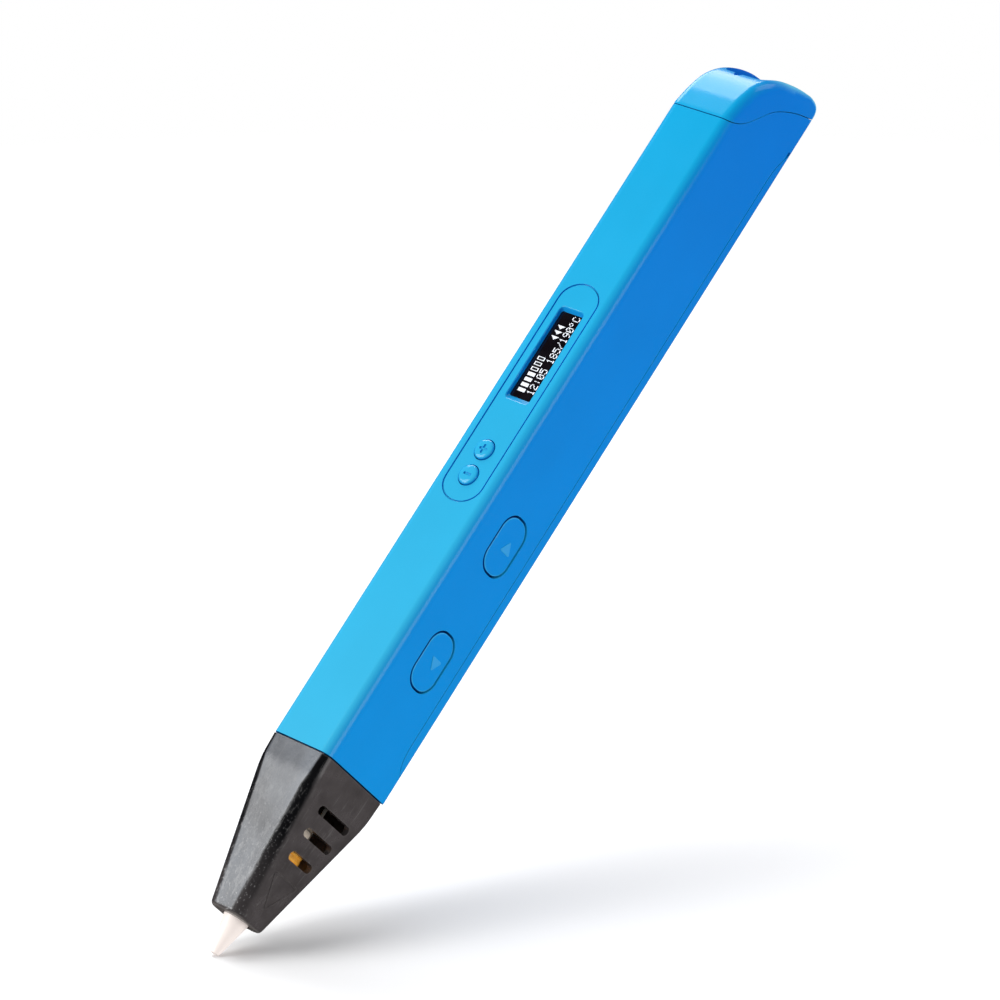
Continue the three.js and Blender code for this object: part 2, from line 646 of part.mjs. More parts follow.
// output shaft with a worm on its front end
function wormShaft() {
  const shaftR = 0.5;
  const rootR = 0.95;
  const tipR = 1.45;
  const [start, end] = xRange(98.4, 103.6);  // threaded length
  const steps = 34;
  const sides = 14;
  const crest = 0.09;   // half width of the crest, in turns
  const flank = 0.15;   // width of each flank, in turns
  const fade = 0.4;     // length over which the thread rises at each end

  function threadRadius(x, angle) {
    const turns = (angle - 2 * Math.PI * (x - X(DRIVE_S)) / WORM_LEAD - Math.PI / 2)
      / (2 * Math.PI);
    const offset = Math.abs(turns - Math.round(turns));
    const height = Math.min(1, Math.max(0, 1 - (offset - crest) / flank));
    const rise = Math.min(1, Math.max(0, Math.min(x - start, end - x) / fade));
    return rootR + (tipR - rootR) * height * rise;
  }
  function section(x, radiusAt) {
    return Array.from({ length: sides }, (_, k) => {
      const angle = 2 * Math.PI * k / sides;
      const radius = radiusAt(x, angle);
      return [x, WORM_Y + radius * Math.cos(angle), WORM_Z + radius * Math.sin(angle)];
    });
  }
  const plain = (x) => section(x, () => shaftR);
  const thread = Array.from({ length: steps + 1 },
    (_, i) => section(start + (end - start) * i / steps, threadRadius));
  return skin([
    plain(X(96.2)), plain(start - 0.02), ...thread, plain(end + 0.02), plain(X(108.6)),
  ]);
}

// toothed outline in (x, z) with a tooth at the top; rootHalf and tipHalf are half angles
function toothed({ teeth, rootR, tipR, rootHalf, tipHalf }) {
  const points = [];
  for (let i = 0; i < teeth; i++) {
    const centre = Math.PI / 2 + 2 * Math.PI * i / teeth;
    for (const [radius, offset] of
      [[rootR, -rootHalf], [tipR, -tipHalf], [tipR, tipHalf], [rootR, rootHalf]]) {
      const angle = centre + offset;
      points.push([radius * Math.cos(angle), radius * Math.sin(angle)]);
    }
  }
  const shape = polygon(points);
  shape.holes.push(circle(new THREE.Path(), AXLE_BORE));
  return shape;
}
const wormWheel = () => sweepY(
  toothed({ teeth: WHEEL_TEETH, rootR: 2.2, tipR: 2.68, rootHalf: 0.085, tipHalf: 0.04 }),
  around(WORM_Y, 1.6), 4);
const driveRoller = () => sweepY(
  toothed({ teeth: 24, rootR: ROLLER_R - 0.22, tipR: ROLLER_R, rootHalf: 0.1, tipHalf: 0.03 }),
  around(FILAMENT_Y, 2.3), 4);

// arm on a pivot pin, forked round the bearing, with a lug over the spring
function idlerArm() {
  return cut(
    join(
      block(xRange(ARM_LUG_S[0], 111.4), ARM_Y, ARM_Z),
      block(xRange(...ARM_LUG_S), [-1.6, 2], ARM_Z),
      rod('y', 1.25, ARM_Y, X(PIVOT_S), PIVOT_Z, 20)),
    block(around(X(DRIVE_S), 4.8), [2.0, 3.8], [8, 14]),
    rod('y', 0.52, [0, 6], X(DRIVE_S), IDLER_Z, 16),
    rod('y', 0.66, [0, 6], X(PIVOT_S), PIVOT_Z, 16));
}

class Coil extends THREE.Curve {
  constructor({ radius, bottom, top, turns }) {
    super();
    Object.assign(this, { radius, bottom, top, turns });
  }

  getPoint(t, target = new THREE.Vector3()) {
    const angle = 2 * Math.PI * this.turns * t;
    const z = this.bottom + (this.top - this.bottom) * t;
    return target.set(this.radius * Math.cos(angle), this.radius * Math.sin(angle), z);
  }
}
function idlerSpring() {
  return new THREE.ExtrudeGeometry(circle(new THREE.Shape(), 0.18), {
    steps: 84,
    extrudePath: new Coil({ radius: 0.85, bottom: 3.15, top: 10.95, turns: 7 }),
    curveSegments: 1,
    bevelEnabled: false,
  });
}

const feedAxle = () => rod('y', AXLE_R, [-5.35, 5.35], X(DRIVE_S), AXLE_Z, 20);
const idlerPin = () => rod('y', 0.5, [1.6, 4.25], X(DRIVE_S), IDLER_Z, 16);
const idlerBearing = () => ring('y', IDLER_R, 0.56, [2.15, 3.65], X(DRIVE_S), IDLER_Z, 28);
const pivotPin = () => rod('y', 0.6, [0.82, 5.35], X(PIVOT_S), PIVOT_Z, 16);
const axlePlace = [X(DRIVE_S), 0, AXLE_Z];

add(drive, 'ptfe_tube', wire(PTFE_TUBE, { radius: 1.5, bore: 1.0, steps: 12, sides: 3 }),
  FINISH.ptfe);
add(drive, 'inlet_guide_tube', wire(INLET_TUBE, { radius: 1.3, bore: 1.0, steps: 7, sides: 3 }),
  FINISH.inletTube);
add(drive, 'feed_chassis', feedChassis(), FINISH.chassis);
add(drive, 'motor_can', motorCan(), FINISH.steel);
add(drive, 'gearbox', gearbox(), FINISH.brass);
add(drive, 'worm_shaft', wormShaft(), FINISH.polishedSteel);
add(drive, 'feed_axle', feedAxle(), FINISH.polishedSteel);
add(drive, 'worm_wheel', wormWheel(), FINISH.brass, axlePlace);
add(drive, 'drive_roller', driveRoller(), FINISH.steel, axlePlace);
add(drive, 'idler_arm', idlerArm(), FINISH.arm);
add(drive, 'idler_pin', idlerPin(), FINISH.polishedSteel);
add(drive, 'idler_bearing', idlerBearing(), FINISH.polishedSteel);
add(drive, 'idler_pivot_pin', pivotPin(), FINISH.polishedSteel);
add(drive, 'idler_spring', idlerSpring(), FINISH.steel, [X(middle(ARM_LUG_S)), -0.4, 0]);

// ---- electronics -------------------------------------------------------------------------------
// wires from the motor up to the main board, [station, y, z]
const MOTOR_WIRE_A = [
  [127.0, -1.3, 9.6], [129.5, -1.2, 10.6], [132.5, -1.4, 12.2], [134.5, -1.6, 13.75],
];
const MOTOR_WIRE_B = [
  [127.0, -3.6, 9.6], [129.5, -3.8, 10.6], [132.5, -3.8, 12.2], [134.5, -3.9, 13.75],
];

const displayModule = () => block(xRange(105.6, 129.0), [-4.6, 4.6], [15.9, 17.0]);
const mainBoard = () => cut(
  block(xRange(78.5, 163), [-5.2, 5.2], BOARD_Z),
  ...BOARD_SCREW_S.map((s) => rod('z', 0.75, [13, 16], X(s), 0, 16)));
const sideBoard = () => block(xRange(54, 92.2), [-3.3, -2.5], [6.0, 13.4]);
const processorChip = () => block(xRange(140, 145), [-2.5, 2.5], [15.04, 15.95]);
const capacitor = () => rod('x', 2.2, xRange(131.5, 139.5), -2.2, 6.6, 24);

// tactile switch standing on z = 0, with a bore for its plunger
const switchBody = (depth) => cut(
  block([-1.5, 1.5], [-1.5, 1.5], [0, depth]),
  rod('z', 0.86, [0.15, depth + 1], 0, 0, 16));

function addSwitch(name, { depth, plungerZ, position, turn = 0 }) {
  const plunger = rod('z', 0.75, plungerZ, 0, 0, 16);
  for (const mesh of [
    add(electronics, name + '_switch', switchBody(depth), FINISH.switchBody, position),
    add(electronics, name + '_plunger', plunger, FINISH.plunger, position),
  ]) mesh.rotation.x = turn;
}

// power jack: a block with a socket open towards the cap and a pin inside
const powerJack = () => join(
  cut(
    block(xRange(166, 175.9), [-4.3, 1.55], [3.2, 9.6]),
    rod('x', 1.9, xRange(168, 177), JACK_Y, JACK_Z, 24)),
  rod('x', 0.5, xRange(167.5, 175.4), JACK_Y, JACK_Z, 14));

// flat ribbon folding from the display module down towards the board
function displayRibbon() {
  const start = 129.2;
  const foldS = 129.9;
  const foldZ = 15.8;
  const fold = (radius) => {
    const points = [[start, foldZ + radius]];
    for (let i = 0; i <= 10; i++) {
      const angle = Math.PI / 2 - Math.PI * i / 10;
      points.push([foldS + radius * Math.cos(angle), foldZ + radius * Math.sin(angle)]);
    }
    points.push([start, foldZ - radius]);
    return points;
  };
  return sweepSide([...fold(0.7), ...fold(0.56).reverse()], [-3.4, 3.4]);
}

add(electronics, 'display_module', displayModule(), FINISH.display);
add(electronics, 'main_board', mainBoard(), FINISH.board);
add(electronics, 'side_board', sideBoard(), FINISH.board);
add(electronics, 'processor_chip', processorChip(), FINISH.chip);
add(electronics, 'capacitor', capacitor(), FINISH.capacitor);
['minus', 'plus'].forEach((name, i) => addSwitch(name, {
  depth: 1.1,
  plungerZ: [0.6, 1.6],
  position: [X(ROUND_BUTTON_S[i]), 0, BOARD_Z[1] + BOARD_FIT],
}));
['feed', 'retract'].forEach((name, i) => addSwitch(name, {
  depth: 1.2,
  plungerZ: [0.75, 1.7],
  position: [X(SIDE_BUTTON_S[i]), -3.36, SIDE_BUTTON_Z],
  turn: Math.PI / 2,  // faces -Y
}));
add(electronics, 'power_jack', powerJack(), FINISH.jack);
add(electronics, 'motor_wire_a', wire(MOTOR_WIRE_A, { radius: 0.35, steps: 8 }), FINISH.redWire);
add(electronics, 'motor_wire_b', wire(MOTOR_WIRE_B, { radius: 0.35, steps: 8 }),
  FINISH.blackWire);
add(electronics, 'display_ribbon', displayRibbon(), FINISH.ribbon);

// ---- fasteners ---------------------------------------------------------------------------------
const SCREW_FIT = 0.03;        // space between a screw head and the face above it

// pan-head screw pointing up, its head below z = 0 with a cross recess
function screw({ length, headR, headH }) {
  const profile = [
    [0, -headH], [headR * 0.8, -headH], [headR, -headH * 0.55], [headR, 0],
    [0.6, 0], [0.6, length - 0.5], [0.25, length], [0, length],
  ];
  const long = around(0, headR * 1.1);
  const narrow = around(0, 0.28);
  const recessZ = [-headH - 0.1, -headH + 0.3];
  return cut(
    alongAxis(lathe(profile, 18), 'z', 0, 0),
    block(long, narrow, recessZ),
    block(narrow, long, recessZ));
}

const BOARD_SCREW = { length: 3.6, headR: 1.35, headH: 0.8 };
const CHASSIS_SCREW_LENGTHS = [4.0, 5.0];
const ENDS = ['front', 'rear'];

ENDS.forEach((end, i) => {
  const position = [X(BOARD_SCREW_S[i]), 0, BOARD_Z[0] - SCREW_FIT];
  add(fasteners, 'board_screw_' + end, screw(BOARD_SCREW), FINISH.steel, position);
});
ENDS.forEach((end, i) => {
  const shape = screw({ length: CHASSIS_SCREW_LENGTHS[i], headR: 1.2, headH: 0.6 });
  const position = [X(CHASSIS_SCREW_S[i]), CHASSIS_SCREW_Y, BASE_Z[0] - SCREW_FIT];
  add(fasteners, 'chassis_screw_' + end, shape, FINISH.steel, position);
});

export default group;
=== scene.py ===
# Electric pen with a heated ceramic nozzle: blue housing, black nozzle cover, display and keys.
# The pen lies along X with the nozzle tip at -X and the end cap at +X. The display panel faces +Z
# and the two long keys face -Y. Shapes are drawn in millimetres as (s, y, z), where s is the
# distance from the nozzle tip, and end up in metres with x = s - HALF.
import bpy
import bmesh
import json
import math
import re
import numpy as np
from mathutils import Vector, Matrix


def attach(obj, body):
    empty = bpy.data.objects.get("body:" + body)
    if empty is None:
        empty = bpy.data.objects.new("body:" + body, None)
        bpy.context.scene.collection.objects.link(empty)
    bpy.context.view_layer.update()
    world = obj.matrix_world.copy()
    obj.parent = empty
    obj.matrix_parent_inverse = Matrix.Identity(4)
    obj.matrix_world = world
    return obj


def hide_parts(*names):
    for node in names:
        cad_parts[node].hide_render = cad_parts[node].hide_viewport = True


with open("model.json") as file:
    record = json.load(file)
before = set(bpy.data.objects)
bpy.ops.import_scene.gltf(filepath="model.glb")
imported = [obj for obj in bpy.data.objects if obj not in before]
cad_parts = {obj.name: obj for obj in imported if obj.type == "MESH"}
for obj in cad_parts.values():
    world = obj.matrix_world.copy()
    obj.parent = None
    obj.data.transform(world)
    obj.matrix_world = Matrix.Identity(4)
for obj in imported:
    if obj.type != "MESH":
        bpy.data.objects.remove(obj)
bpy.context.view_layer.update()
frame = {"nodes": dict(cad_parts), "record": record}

# ==================================================================================
# Driving dimensions, mm
# ==================================================================================
BODY_L, BODY_W, BODY_H = 185.0, 14.0, 19.6
HALF = BODY_L / 2
WALL = 1.2
EDGE_R = 2.0            # long edges of the body
EDGE_GROWTH = 0.16      # added to EDGE_R towards the rear end
REAR_R = 0.9            # lower edges
NOZZLE_Z = 9.0          # height of the nozzle axis
HEATER_BORE_R = 1.45    # bore of the rings around the nozzle axis
BORE_R = 0.66           # bores in the posts inside the housing

PANEL_START, PANEL_END = 86.9, 131.6
PANEL_MID, PANEL_L, PANEL_W = (PANEL_START + PANEL_END) / 2, PANEL_END - PANEL_START, 8.5
WINDOW_MID = 117.1
MINUS_S, PLUS_S = 91.95, 97.2
ROUND_KEY_R, ROUND_KEY_GAP = 1.925, 0.15

FEED_S, RETRACT_S = 61.5, 85.3
SIDE_Z, SIDE_L, SIDE_H, SIDE_R = 9.45, 11.0, 7.0, 3.1

COVER_START, COVER_END = 42.5, 174.8
SEAM_GAP = 0.16

work = bpy.data.collections.new("work")
bpy.context.scene.collection.children.link(work)


# ==================================================================================
# Outlines and solids
# ==================================================================================
def rrect(cx, cy, w, h, r, n=10):
    """rectangle with corners of radius r, n steps per corner"""
    pts = []
    for q, (sx, sy) in enumerate(((1, 1), (-1, 1), (-1, -1), (1, -1))):
        for k in range(n + 1):
            t = (q + k / n) * math.pi / 2
            pts.append((cx + sx * (w / 2 - r) + r * math.cos(t),
                        cy + sy * (h / 2 - r) + r * math.sin(t)))
    return pts


def oval(cx, cy, w, h, end, n=28):
    """straight-sided outline whose half-ellipse ends are `end` long"""
    pts = []
    for side in (1, -1):
        for k in range(n + 1):
            t = -math.pi / 2 + math.pi * k / n
            pts.append((cx + side * (w / 2 - end) + side * end * math.cos(t),
                        cy + side * h / 2 * math.sin(t)))
    return pts


def circle(cx, cy, r, n):
    return [(cx + r * math.cos(2 * math.pi * k / n), cy + r * math.sin(2 * math.pi * k / n))
            for k in range(n)]


def rounded_triangle(corners, r, steps):
    """corners: x, z and start angle in degrees of each 120 degree corner arc"""
    pts = []
    for cx, cz, start in corners:
        for k in range(steps + 1):
            t = math.radians(start + 120 * k / steps)
            pts.append((cx + r * math.cos(t), cz + r * math.sin(t)))
    return pts


def spline(points, n):
    """Catmull-Rom curve through the points, n steps"""
    p = [np.array(q, float) for q in points]
    p = [2 * p[0] - p[1]] + p + [2 * p[-1] - p[-2]]
    out, spans = [], len(p) - 3
    for i in range(n + 1):
        t = i / n * spans
        k = min(int(t), spans - 1)
        f = t - k
        a, b, c, d = p[k:k + 4]
        out.append(tuple(0.5 * ((2 * b) + (c - a) * f + (2 * a - 5 * b + 4 * c - d) * f * f
                                + (3 * b - a - 3 * c + d) * f ** 3)))
    return out


def ring(outline, axis, level):
    """outline laid across an axis at a level: x takes (y, z), y takes (s, z), z takes (s, y)"""
    if axis == "x":
        return [(level - HALF, a, b) for a, b in outline]
    if axis == "y":
        return [(a - HALF, level, b) for a, b in outline]
    return [(a - HALF, b, level) for a, b in outline]


def new_obj(verts, faces):
    me = bpy.data.meshes.new("part")
    me.from_pydata(verts, [], faces)
    me.update()
    o = bpy.data.objects.new("part", me)
    work.objects.link(o)
    bm = bmesh.new()
    bm.from_mesh(me)
    bmesh.ops.remove_doubles(bm, verts=bm.verts, dist=1e-4)
    bmesh.ops.recalc_face_normals(bm, faces=bm.faces)
    bm.to_mesh(me)
    bm.free()
    return o


def stack(rings, closed=False):
    """skin over rings of equal length, with flat ends unless the last ring joins the first"""
    n, m = len(rings[0]), len(rings)
    verts = [tuple(p) for r in rings for p in r]
    faces = []
    for i in range(m if closed else m - 1):
        a, b = i * n, ((i + 1) % m) * n
        for k in range(n):
            q = (k + 1) % n
            faces.append((a + k, a + q, b + q, b + k))
    if not closed:
        faces.append(tuple(range(n - 1, -1, -1)))
        faces.append(tuple(range((m - 1) * n, m * n)))
    return new_obj(verts, faces)


def prism(outline, lo, hi, axis):
    return stack([ring(outline, axis, lo), ring(outline, axis, hi)])


def box(s0, s1, y0, y1, z0, z1):
    return prism([(y0, z0), (y1, z0), (y1, z1), (y0, z1)], s0, s1, "x")


def lathe(profile, axis, centre, n):
    """profile of (place along the axis, radius), a closed loop when the first point repeats last"""
    closed = profile[0] == profile[-1]
    pts = profile[:-1] if closed else profile
    return stack([ring(circle(*centre, r, n), axis, level) for level, r in pts], closed)


def baked(o):
    """applies the modifiers of o"""
    bpy.context.view_layer.update()
    dg = bpy.context.evaluated_depsgraph_get()
    me = bpy.data.meshes.new_from_object(o.evaluated_get(dg))
    o.modifiers.clear()
    old = o.data
    o.data = me
    bpy.data.meshes.remove(old)


def volume(o):
    """enclosed volume, or 0 for a mesh that is not closed"""
    bm = bmesh.new()
    bm.from_mesh(o.data)
    v = abs(bm.calc_volume(signed=True))
    is_open = any(len(e.link_faces) != 2 for e in bm.edges)
    bm.free()
    return 0.0 if is_open else v


def boolean(o, *cutters, op="DIFFERENCE"):
    """applies each cutter in turn, with the exact solver where the manifold one gives no solid"""
    least_left = 0.02   # share of the volume a sound cut leaves
    for c in cutters:
        before = o.data.copy()
        was = volume(o)
        for solver in ("MANIFOLD", "EXACT"):
            m = o.modifiers.new("b", "BOOLEAN")
            m.operation, m.solver, m.object = op, solver, c
            baked(o)
            now = volume(o)
            if now > 0 and (op != "DIFFERENCE" or now > least_left * was):
                break
            o.data = before.copy()
        bpy.data.objects.remove(c)
    return o


def tidy(o):
    """merges near points and dissolves flat edges"""
    merge, flat = 0.004, math.radians(0.6)
    bm = bmesh.new()
    bm.from_mesh(o.data)
    bmesh.ops.remove_doubles(bm, verts=bm.verts, dist=merge)
    bmesh.ops.dissolve_degenerate(bm, edges=bm.edges, dist=merge)
    bmesh.ops.dissolve_limit(bm, angle_limit=flat, verts=bm.verts, edges=bm.edges)
    bmesh.ops.recalc_face_normals(bm, faces=bm.faces)
    bm.to_mesh(o.data)
    bm.free()


def shade_smooth(o, angle):
    for p in o.data.polygons:
        p.use_smooth = True
    o.data.set_sharp_from_angle(angle=math.radians(angle))


def soften(o, width=0, angle=32):
    """smooth shading and weighted normals, with edges sharper than the angle bevelled by width"""
    tidy(o)
    shade_smooth(o, angle)
    if width:
        m = o.modifiers.new("bevel", "BEVEL")
        m.width, m.segments = width, 3
        m.limit_method, m.angle_limit = "ANGLE", math.radians(angle)
        m.use_clamp_overlap, m.miter_outer = True, "MITER_ARC"
        baked(o)
        shade_smooth(o, 50)
    m = o.modifiers.new("weighted", "WEIGHTED_NORMAL")
    m.weight, m.keep_sharp = 80, True
    baked(o)
    return o


def place(o, name, body, slot, *nodes, material=None):
    """hands a finished piece to its body, in metres, in place of the given CAD nodes"""
    o.name = name
    o.data.name = name
    o.data.transform(Matrix.Scale(0.001, 4))
    work.objects.unlink(o)
    bpy.context.scene.collection.objects.link(o)
    o.data.materials.clear()
    o.data.materials.append(material or MATERIALS[slot])
    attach(o, body)
    if nodes:
        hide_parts(*nodes)


# ==================================================================================
# Materials. Places and lengths in the shaders are in metres, in object coordinates.
# ==================================================================================
def srgb(r, g, b):
    """linear colour from 8-bit sRGB"""
    return tuple(c / 255 / 12.92 if c / 255 <= 0.04045 else ((c / 255 + 0.055) / 1.055) ** 2.4
                 for c in (r, g, b)) + (1.0,)


def scaled(color, gain, lift=0.0):
    return tuple(min(1, c * gain + lift) for c in color[:3]) + (1,)


class Mat:
    """a material around one Principled shader, with short names for its common nodes"""
    INPUTS = {"color": "Base Color", "rough": "Roughness", "metal": "Metallic",
              "spec": "Specular IOR Level", "tint": "Specular Tint",
              "coat": "Coat Weight", "coat_rough": "Coat Roughness",
              "sss": "Subsurface Weight", "sss_scale": "Subsurface Scale",
              "emit": "Emission Color", "emit_s": "Emission Strength"}

    def __init__(self, name):
        self.material = bpy.data.materials.new(name)
        self.material.use_nodes = True
        self.tree = self.material.node_tree
        self.tree.nodes.clear()
        self.out = self.add("ShaderNodeOutputMaterial")
        self.shader = self.add("ShaderNodeBsdfPrincipled")
        self.link(self.shader.outputs[0], self.out.inputs[0])
        self.coord = self.add("ShaderNodeTexCoord").outputs["Object"]

    def add(self, kind, **settings):
        node = self.tree.nodes.new(kind)
        for k, v in settings.items():
            setattr(node, k, v)
        return node

    def link(self, a, b):
        self.tree.links.new(a, b)

    def put(self, socket, v):
        """a constant or a link into a socket"""
        if isinstance(v, (int, float, tuple, list)):
            socket.default_value = v
        else:
            self.link(v, socket)

    def texture(self, kind, inputs, vector=None, **settings):
        t = self.add(kind, **settings)
        self.link(vector or self.coord, t.inputs["Vector"])
        for k, v in inputs.items():
            t.inputs[k].default_value = v
        return t

    def noise(self, scale, detail=3, rough=0.5, stretch=(1, 1, 1), seed=0):
        shift = (seed, seed * 0.7, -seed * 0.4)
        mp = self.texture("ShaderNodeMapping", {"Scale": stretch, "Location": shift})
        t = self.texture("ShaderNodeTexNoise", vector=mp.outputs[0],
                         inputs={"Scale": scale, "Detail": detail, "Roughness": rough})
        return t.outputs["Fac"]

    def math(self, op, a, b, clamp=False):
        t = self.add("ShaderNodeMath", operation=op, use_clamp=clamp)
        self.put(t.inputs[0], a)
        self.put(t.inputs[1], b)
        return t.outputs[0]

    def times(self, a, b, clamp=False):
        return self.math("MULTIPLY", a, b, clamp)

    def plus(self, a, b):
        return self.math("ADD", a, b)

    def ramp(self, v, over, to=(0, 1)):
        """v mapped from the range `over` to the range `to`, clamped"""
        t = self.add("ShaderNodeMapRange")
        self.put(t.inputs[0], v)
        for i, x in enumerate(tuple(over) + tuple(to)):
            t.inputs[i + 1].default_value = x
        return t.outputs[0]

    def mix(self, factor, a, b, blend="MIX"):
        t = self.add("ShaderNodeMix", data_type="RGBA", blend_type=blend)
        self.put(t.inputs[0], factor)
        self.put(t.inputs[6], a)
        self.put(t.inputs[7], b)
        return t.outputs[2]

    def axis(self, letter, source=None):
        t = self.add("ShaderNodeSeparateXYZ")
        self.link(source or self.coord, t.inputs[0])
        return t.outputs[letter]

    def dot(self, a, b):
        d = self.add("ShaderNodeVectorMath", operation="DOT_PRODUCT")
        self.put(d.inputs[0], a)
        self.put(d.inputs[1], b)
        return d.outputs["Value"]

    def edge(self, radius, gain):
        """1 on edges, 0 on flats"""
        b = self.add("ShaderNodeBevel", samples=4)
        b.inputs["Radius"].default_value = radius
        g = self.add("ShaderNodeNewGeometry")
        facing = self.dot(b.outputs[0], g.outputs["Normal"])
        return self.times(self.math("SUBTRACT", 1.0, facing), gain, clamp=True)

    def wear(self, radius, gain, scale, seed, most):
        """patchy wear along the edges"""
        patches = self.noise(scale=scale, detail=4, rough=0.6, seed=seed)
        return self.times(self.edge(radius, gain),
                          self.ramp(patches, over=(0.35, 0.65), to=(0.1, most)))

    def bump(self, height, strength, distance):
        t = self.add("ShaderNodeBump")
        t.inputs["Strength"].default_value, t.inputs["Distance"].default_value = strength, distance
        self.link(height, t.inputs["Height"])
        self.link(t.outputs[0], self.shader.inputs["Normal"])

    def set(self, **values):
        for k, v in values.items():
            self.put(self.shader.inputs[self.INPUTS[k]], v)


def key_accents(m, base, normal):
    """lighter raised marks, a painted highlight on the rims and painted shade on the side walls"""
    y = m.axis("Y")
    mark = m.ramp(y, over=(-0.00707, -0.00713), to=(0, 0.42))
    base = m.mix(mark, base, srgb(84, 184, 232))
    # Painted shade: the key's side walls, down in the gap round the key, are darkened to navy.
    wall_shade = m.times(m.ramp(y, over=(-0.00697, -0.00688), to=(0, 0.9)),
                   m.math("LESS_THAN", y, -0.0055))
    base = m.mix(wall_shade, base, srgb(0, 52, 136))
    # Painted highlight: the rounded rim of the key face is lightened to pale cyan.
    rim = m.times(m.ramp(m.axis("Y", normal), over=(-0.985, -0.92), to=(0, 0.75)),
                  m.math("LESS_THAN", y, -0.00693))
    return m.mix(rim, base, srgb(70, 190, 240))


def shell_accents(m, base, up):
    """painted light on the lower lips of the side key holes and a painted pale sheen at glancing
    angles on the +X end
    """
    y, z = m.axis("Y"), m.axis("Z")
    in_y = m.times(m.math("GREATER_THAN", y, -0.00699), m.math("LESS_THAN", y, -0.0060))
    in_z = m.times(m.math("GREATER_THAN", z, 0.0045), m.math("LESS_THAN", z, 0.0085))
    # Painted light: the up-facing lower walls of the side key holes are lightened.
    lip_light = m.times(m.times(in_y, in_z), m.ramp(up, over=(0.3, 0.6), to=(0, 0.9)))
    base = m.mix(lip_light, base, srgb(40, 200, 255))
    # Painted sheen: the +X end turns paler where it is seen at a glancing angle.
    glance = m.add("ShaderNodeLayerWeight")
    glance.inputs["Blend"].default_value = 0.5
    end_sheen = m.times(m.ramp(glance.outputs["Facing"], over=(0.38, 0.78), to=(0, 0.9)),
                   m.ramp(m.axis("X"), over=(0.0880, 0.0908)))
    return m.mix(end_sheen, base, srgb(120, 218, 252))


def blue_plastic(name, rough, is_key):
    """satin moulded plastic: fine texture, faint flow marks, slightly polished edges; painted light
    makes the tops lighter than the sides and both lighter towards the nozzle end
    """
    m = Mat(name)
    normal = m.add("ShaderNodeNewGeometry").outputs["Normal"]
    up = m.axis("Z", normal)
    # Painted light: up-facing surfaces take the lighter top colour and the sides the darker side
    # colour, as lit and shaded copies of one blue. Both fade from lighter at the nozzle end to
    # darker at the cap, a painted sheen.
    facing = m.math("POWER", m.ramp(up, over=(0.1, 0.99)), 1.6)
    along = m.ramp(m.axis("X"), over=(-0.054, 0.085))
    top = m.mix(along, srgb(58, 185, 228), srgb(0, 170, 225))
    side = m.mix(along, srgb(0, 149, 230), srgb(0, 123, 220))
    base = m.mix(facing, side, top)
    cloud = m.noise(scale=60, detail=3, rough=0.55, seed=2)
    flow = m.noise(scale=45, detail=2, stretch=(0.25, 2.2, 2.2), seed=7)
    fine = m.noise(scale=5200, detail=2, rough=0.6)
    tone = m.plus(m.ramp(cloud, over=(0.3, 0.7), to=(0.975, 1.02)),
                  m.ramp(flow, over=(0.3, 0.7), to=(-0.012, 0.012)))
    speck = m.ramp(fine, over=(0.25, 0.75), to=(0.985, 1.015))
    gray = m.add("ShaderNodeCombineColor")
    shade = m.times(tone, speck)
    for i in range(3):
        m.link(shade, gray.inputs[i])
    base = m.mix(1.0, base, gray.outputs[0], "MULTIPLY")
    worn = m.wear(radius=0.00035, gain=3.0, scale=420, seed=11, most=0.45)
    base = m.mix(worn, base, srgb(46, 176, 228))
    base = key_accents(m, base, normal) if is_key else shell_accents(m, base, up)
    mottle = m.noise(scale=160, detail=4, rough=0.6, seed=5)
    roughness = m.plus(m.ramp(mottle, over=(0.3, 0.7), to=(rough - 0.035, rough + 0.045)),
                       m.times(worn, -0.12))
    m.set(color=base, rough=roughness, spec=0.10, tint=(0.2, 0.7, 1.0, 1),
          coat=0.5, coat_rough=0.14)
    grain = m.plus(m.times(fine, 0.35), m.times(m.noise(scale=1500, detail=2, seed=3), 0.65))
    m.bump(grain, strength=0.10, distance=0.00006)
    return m.material


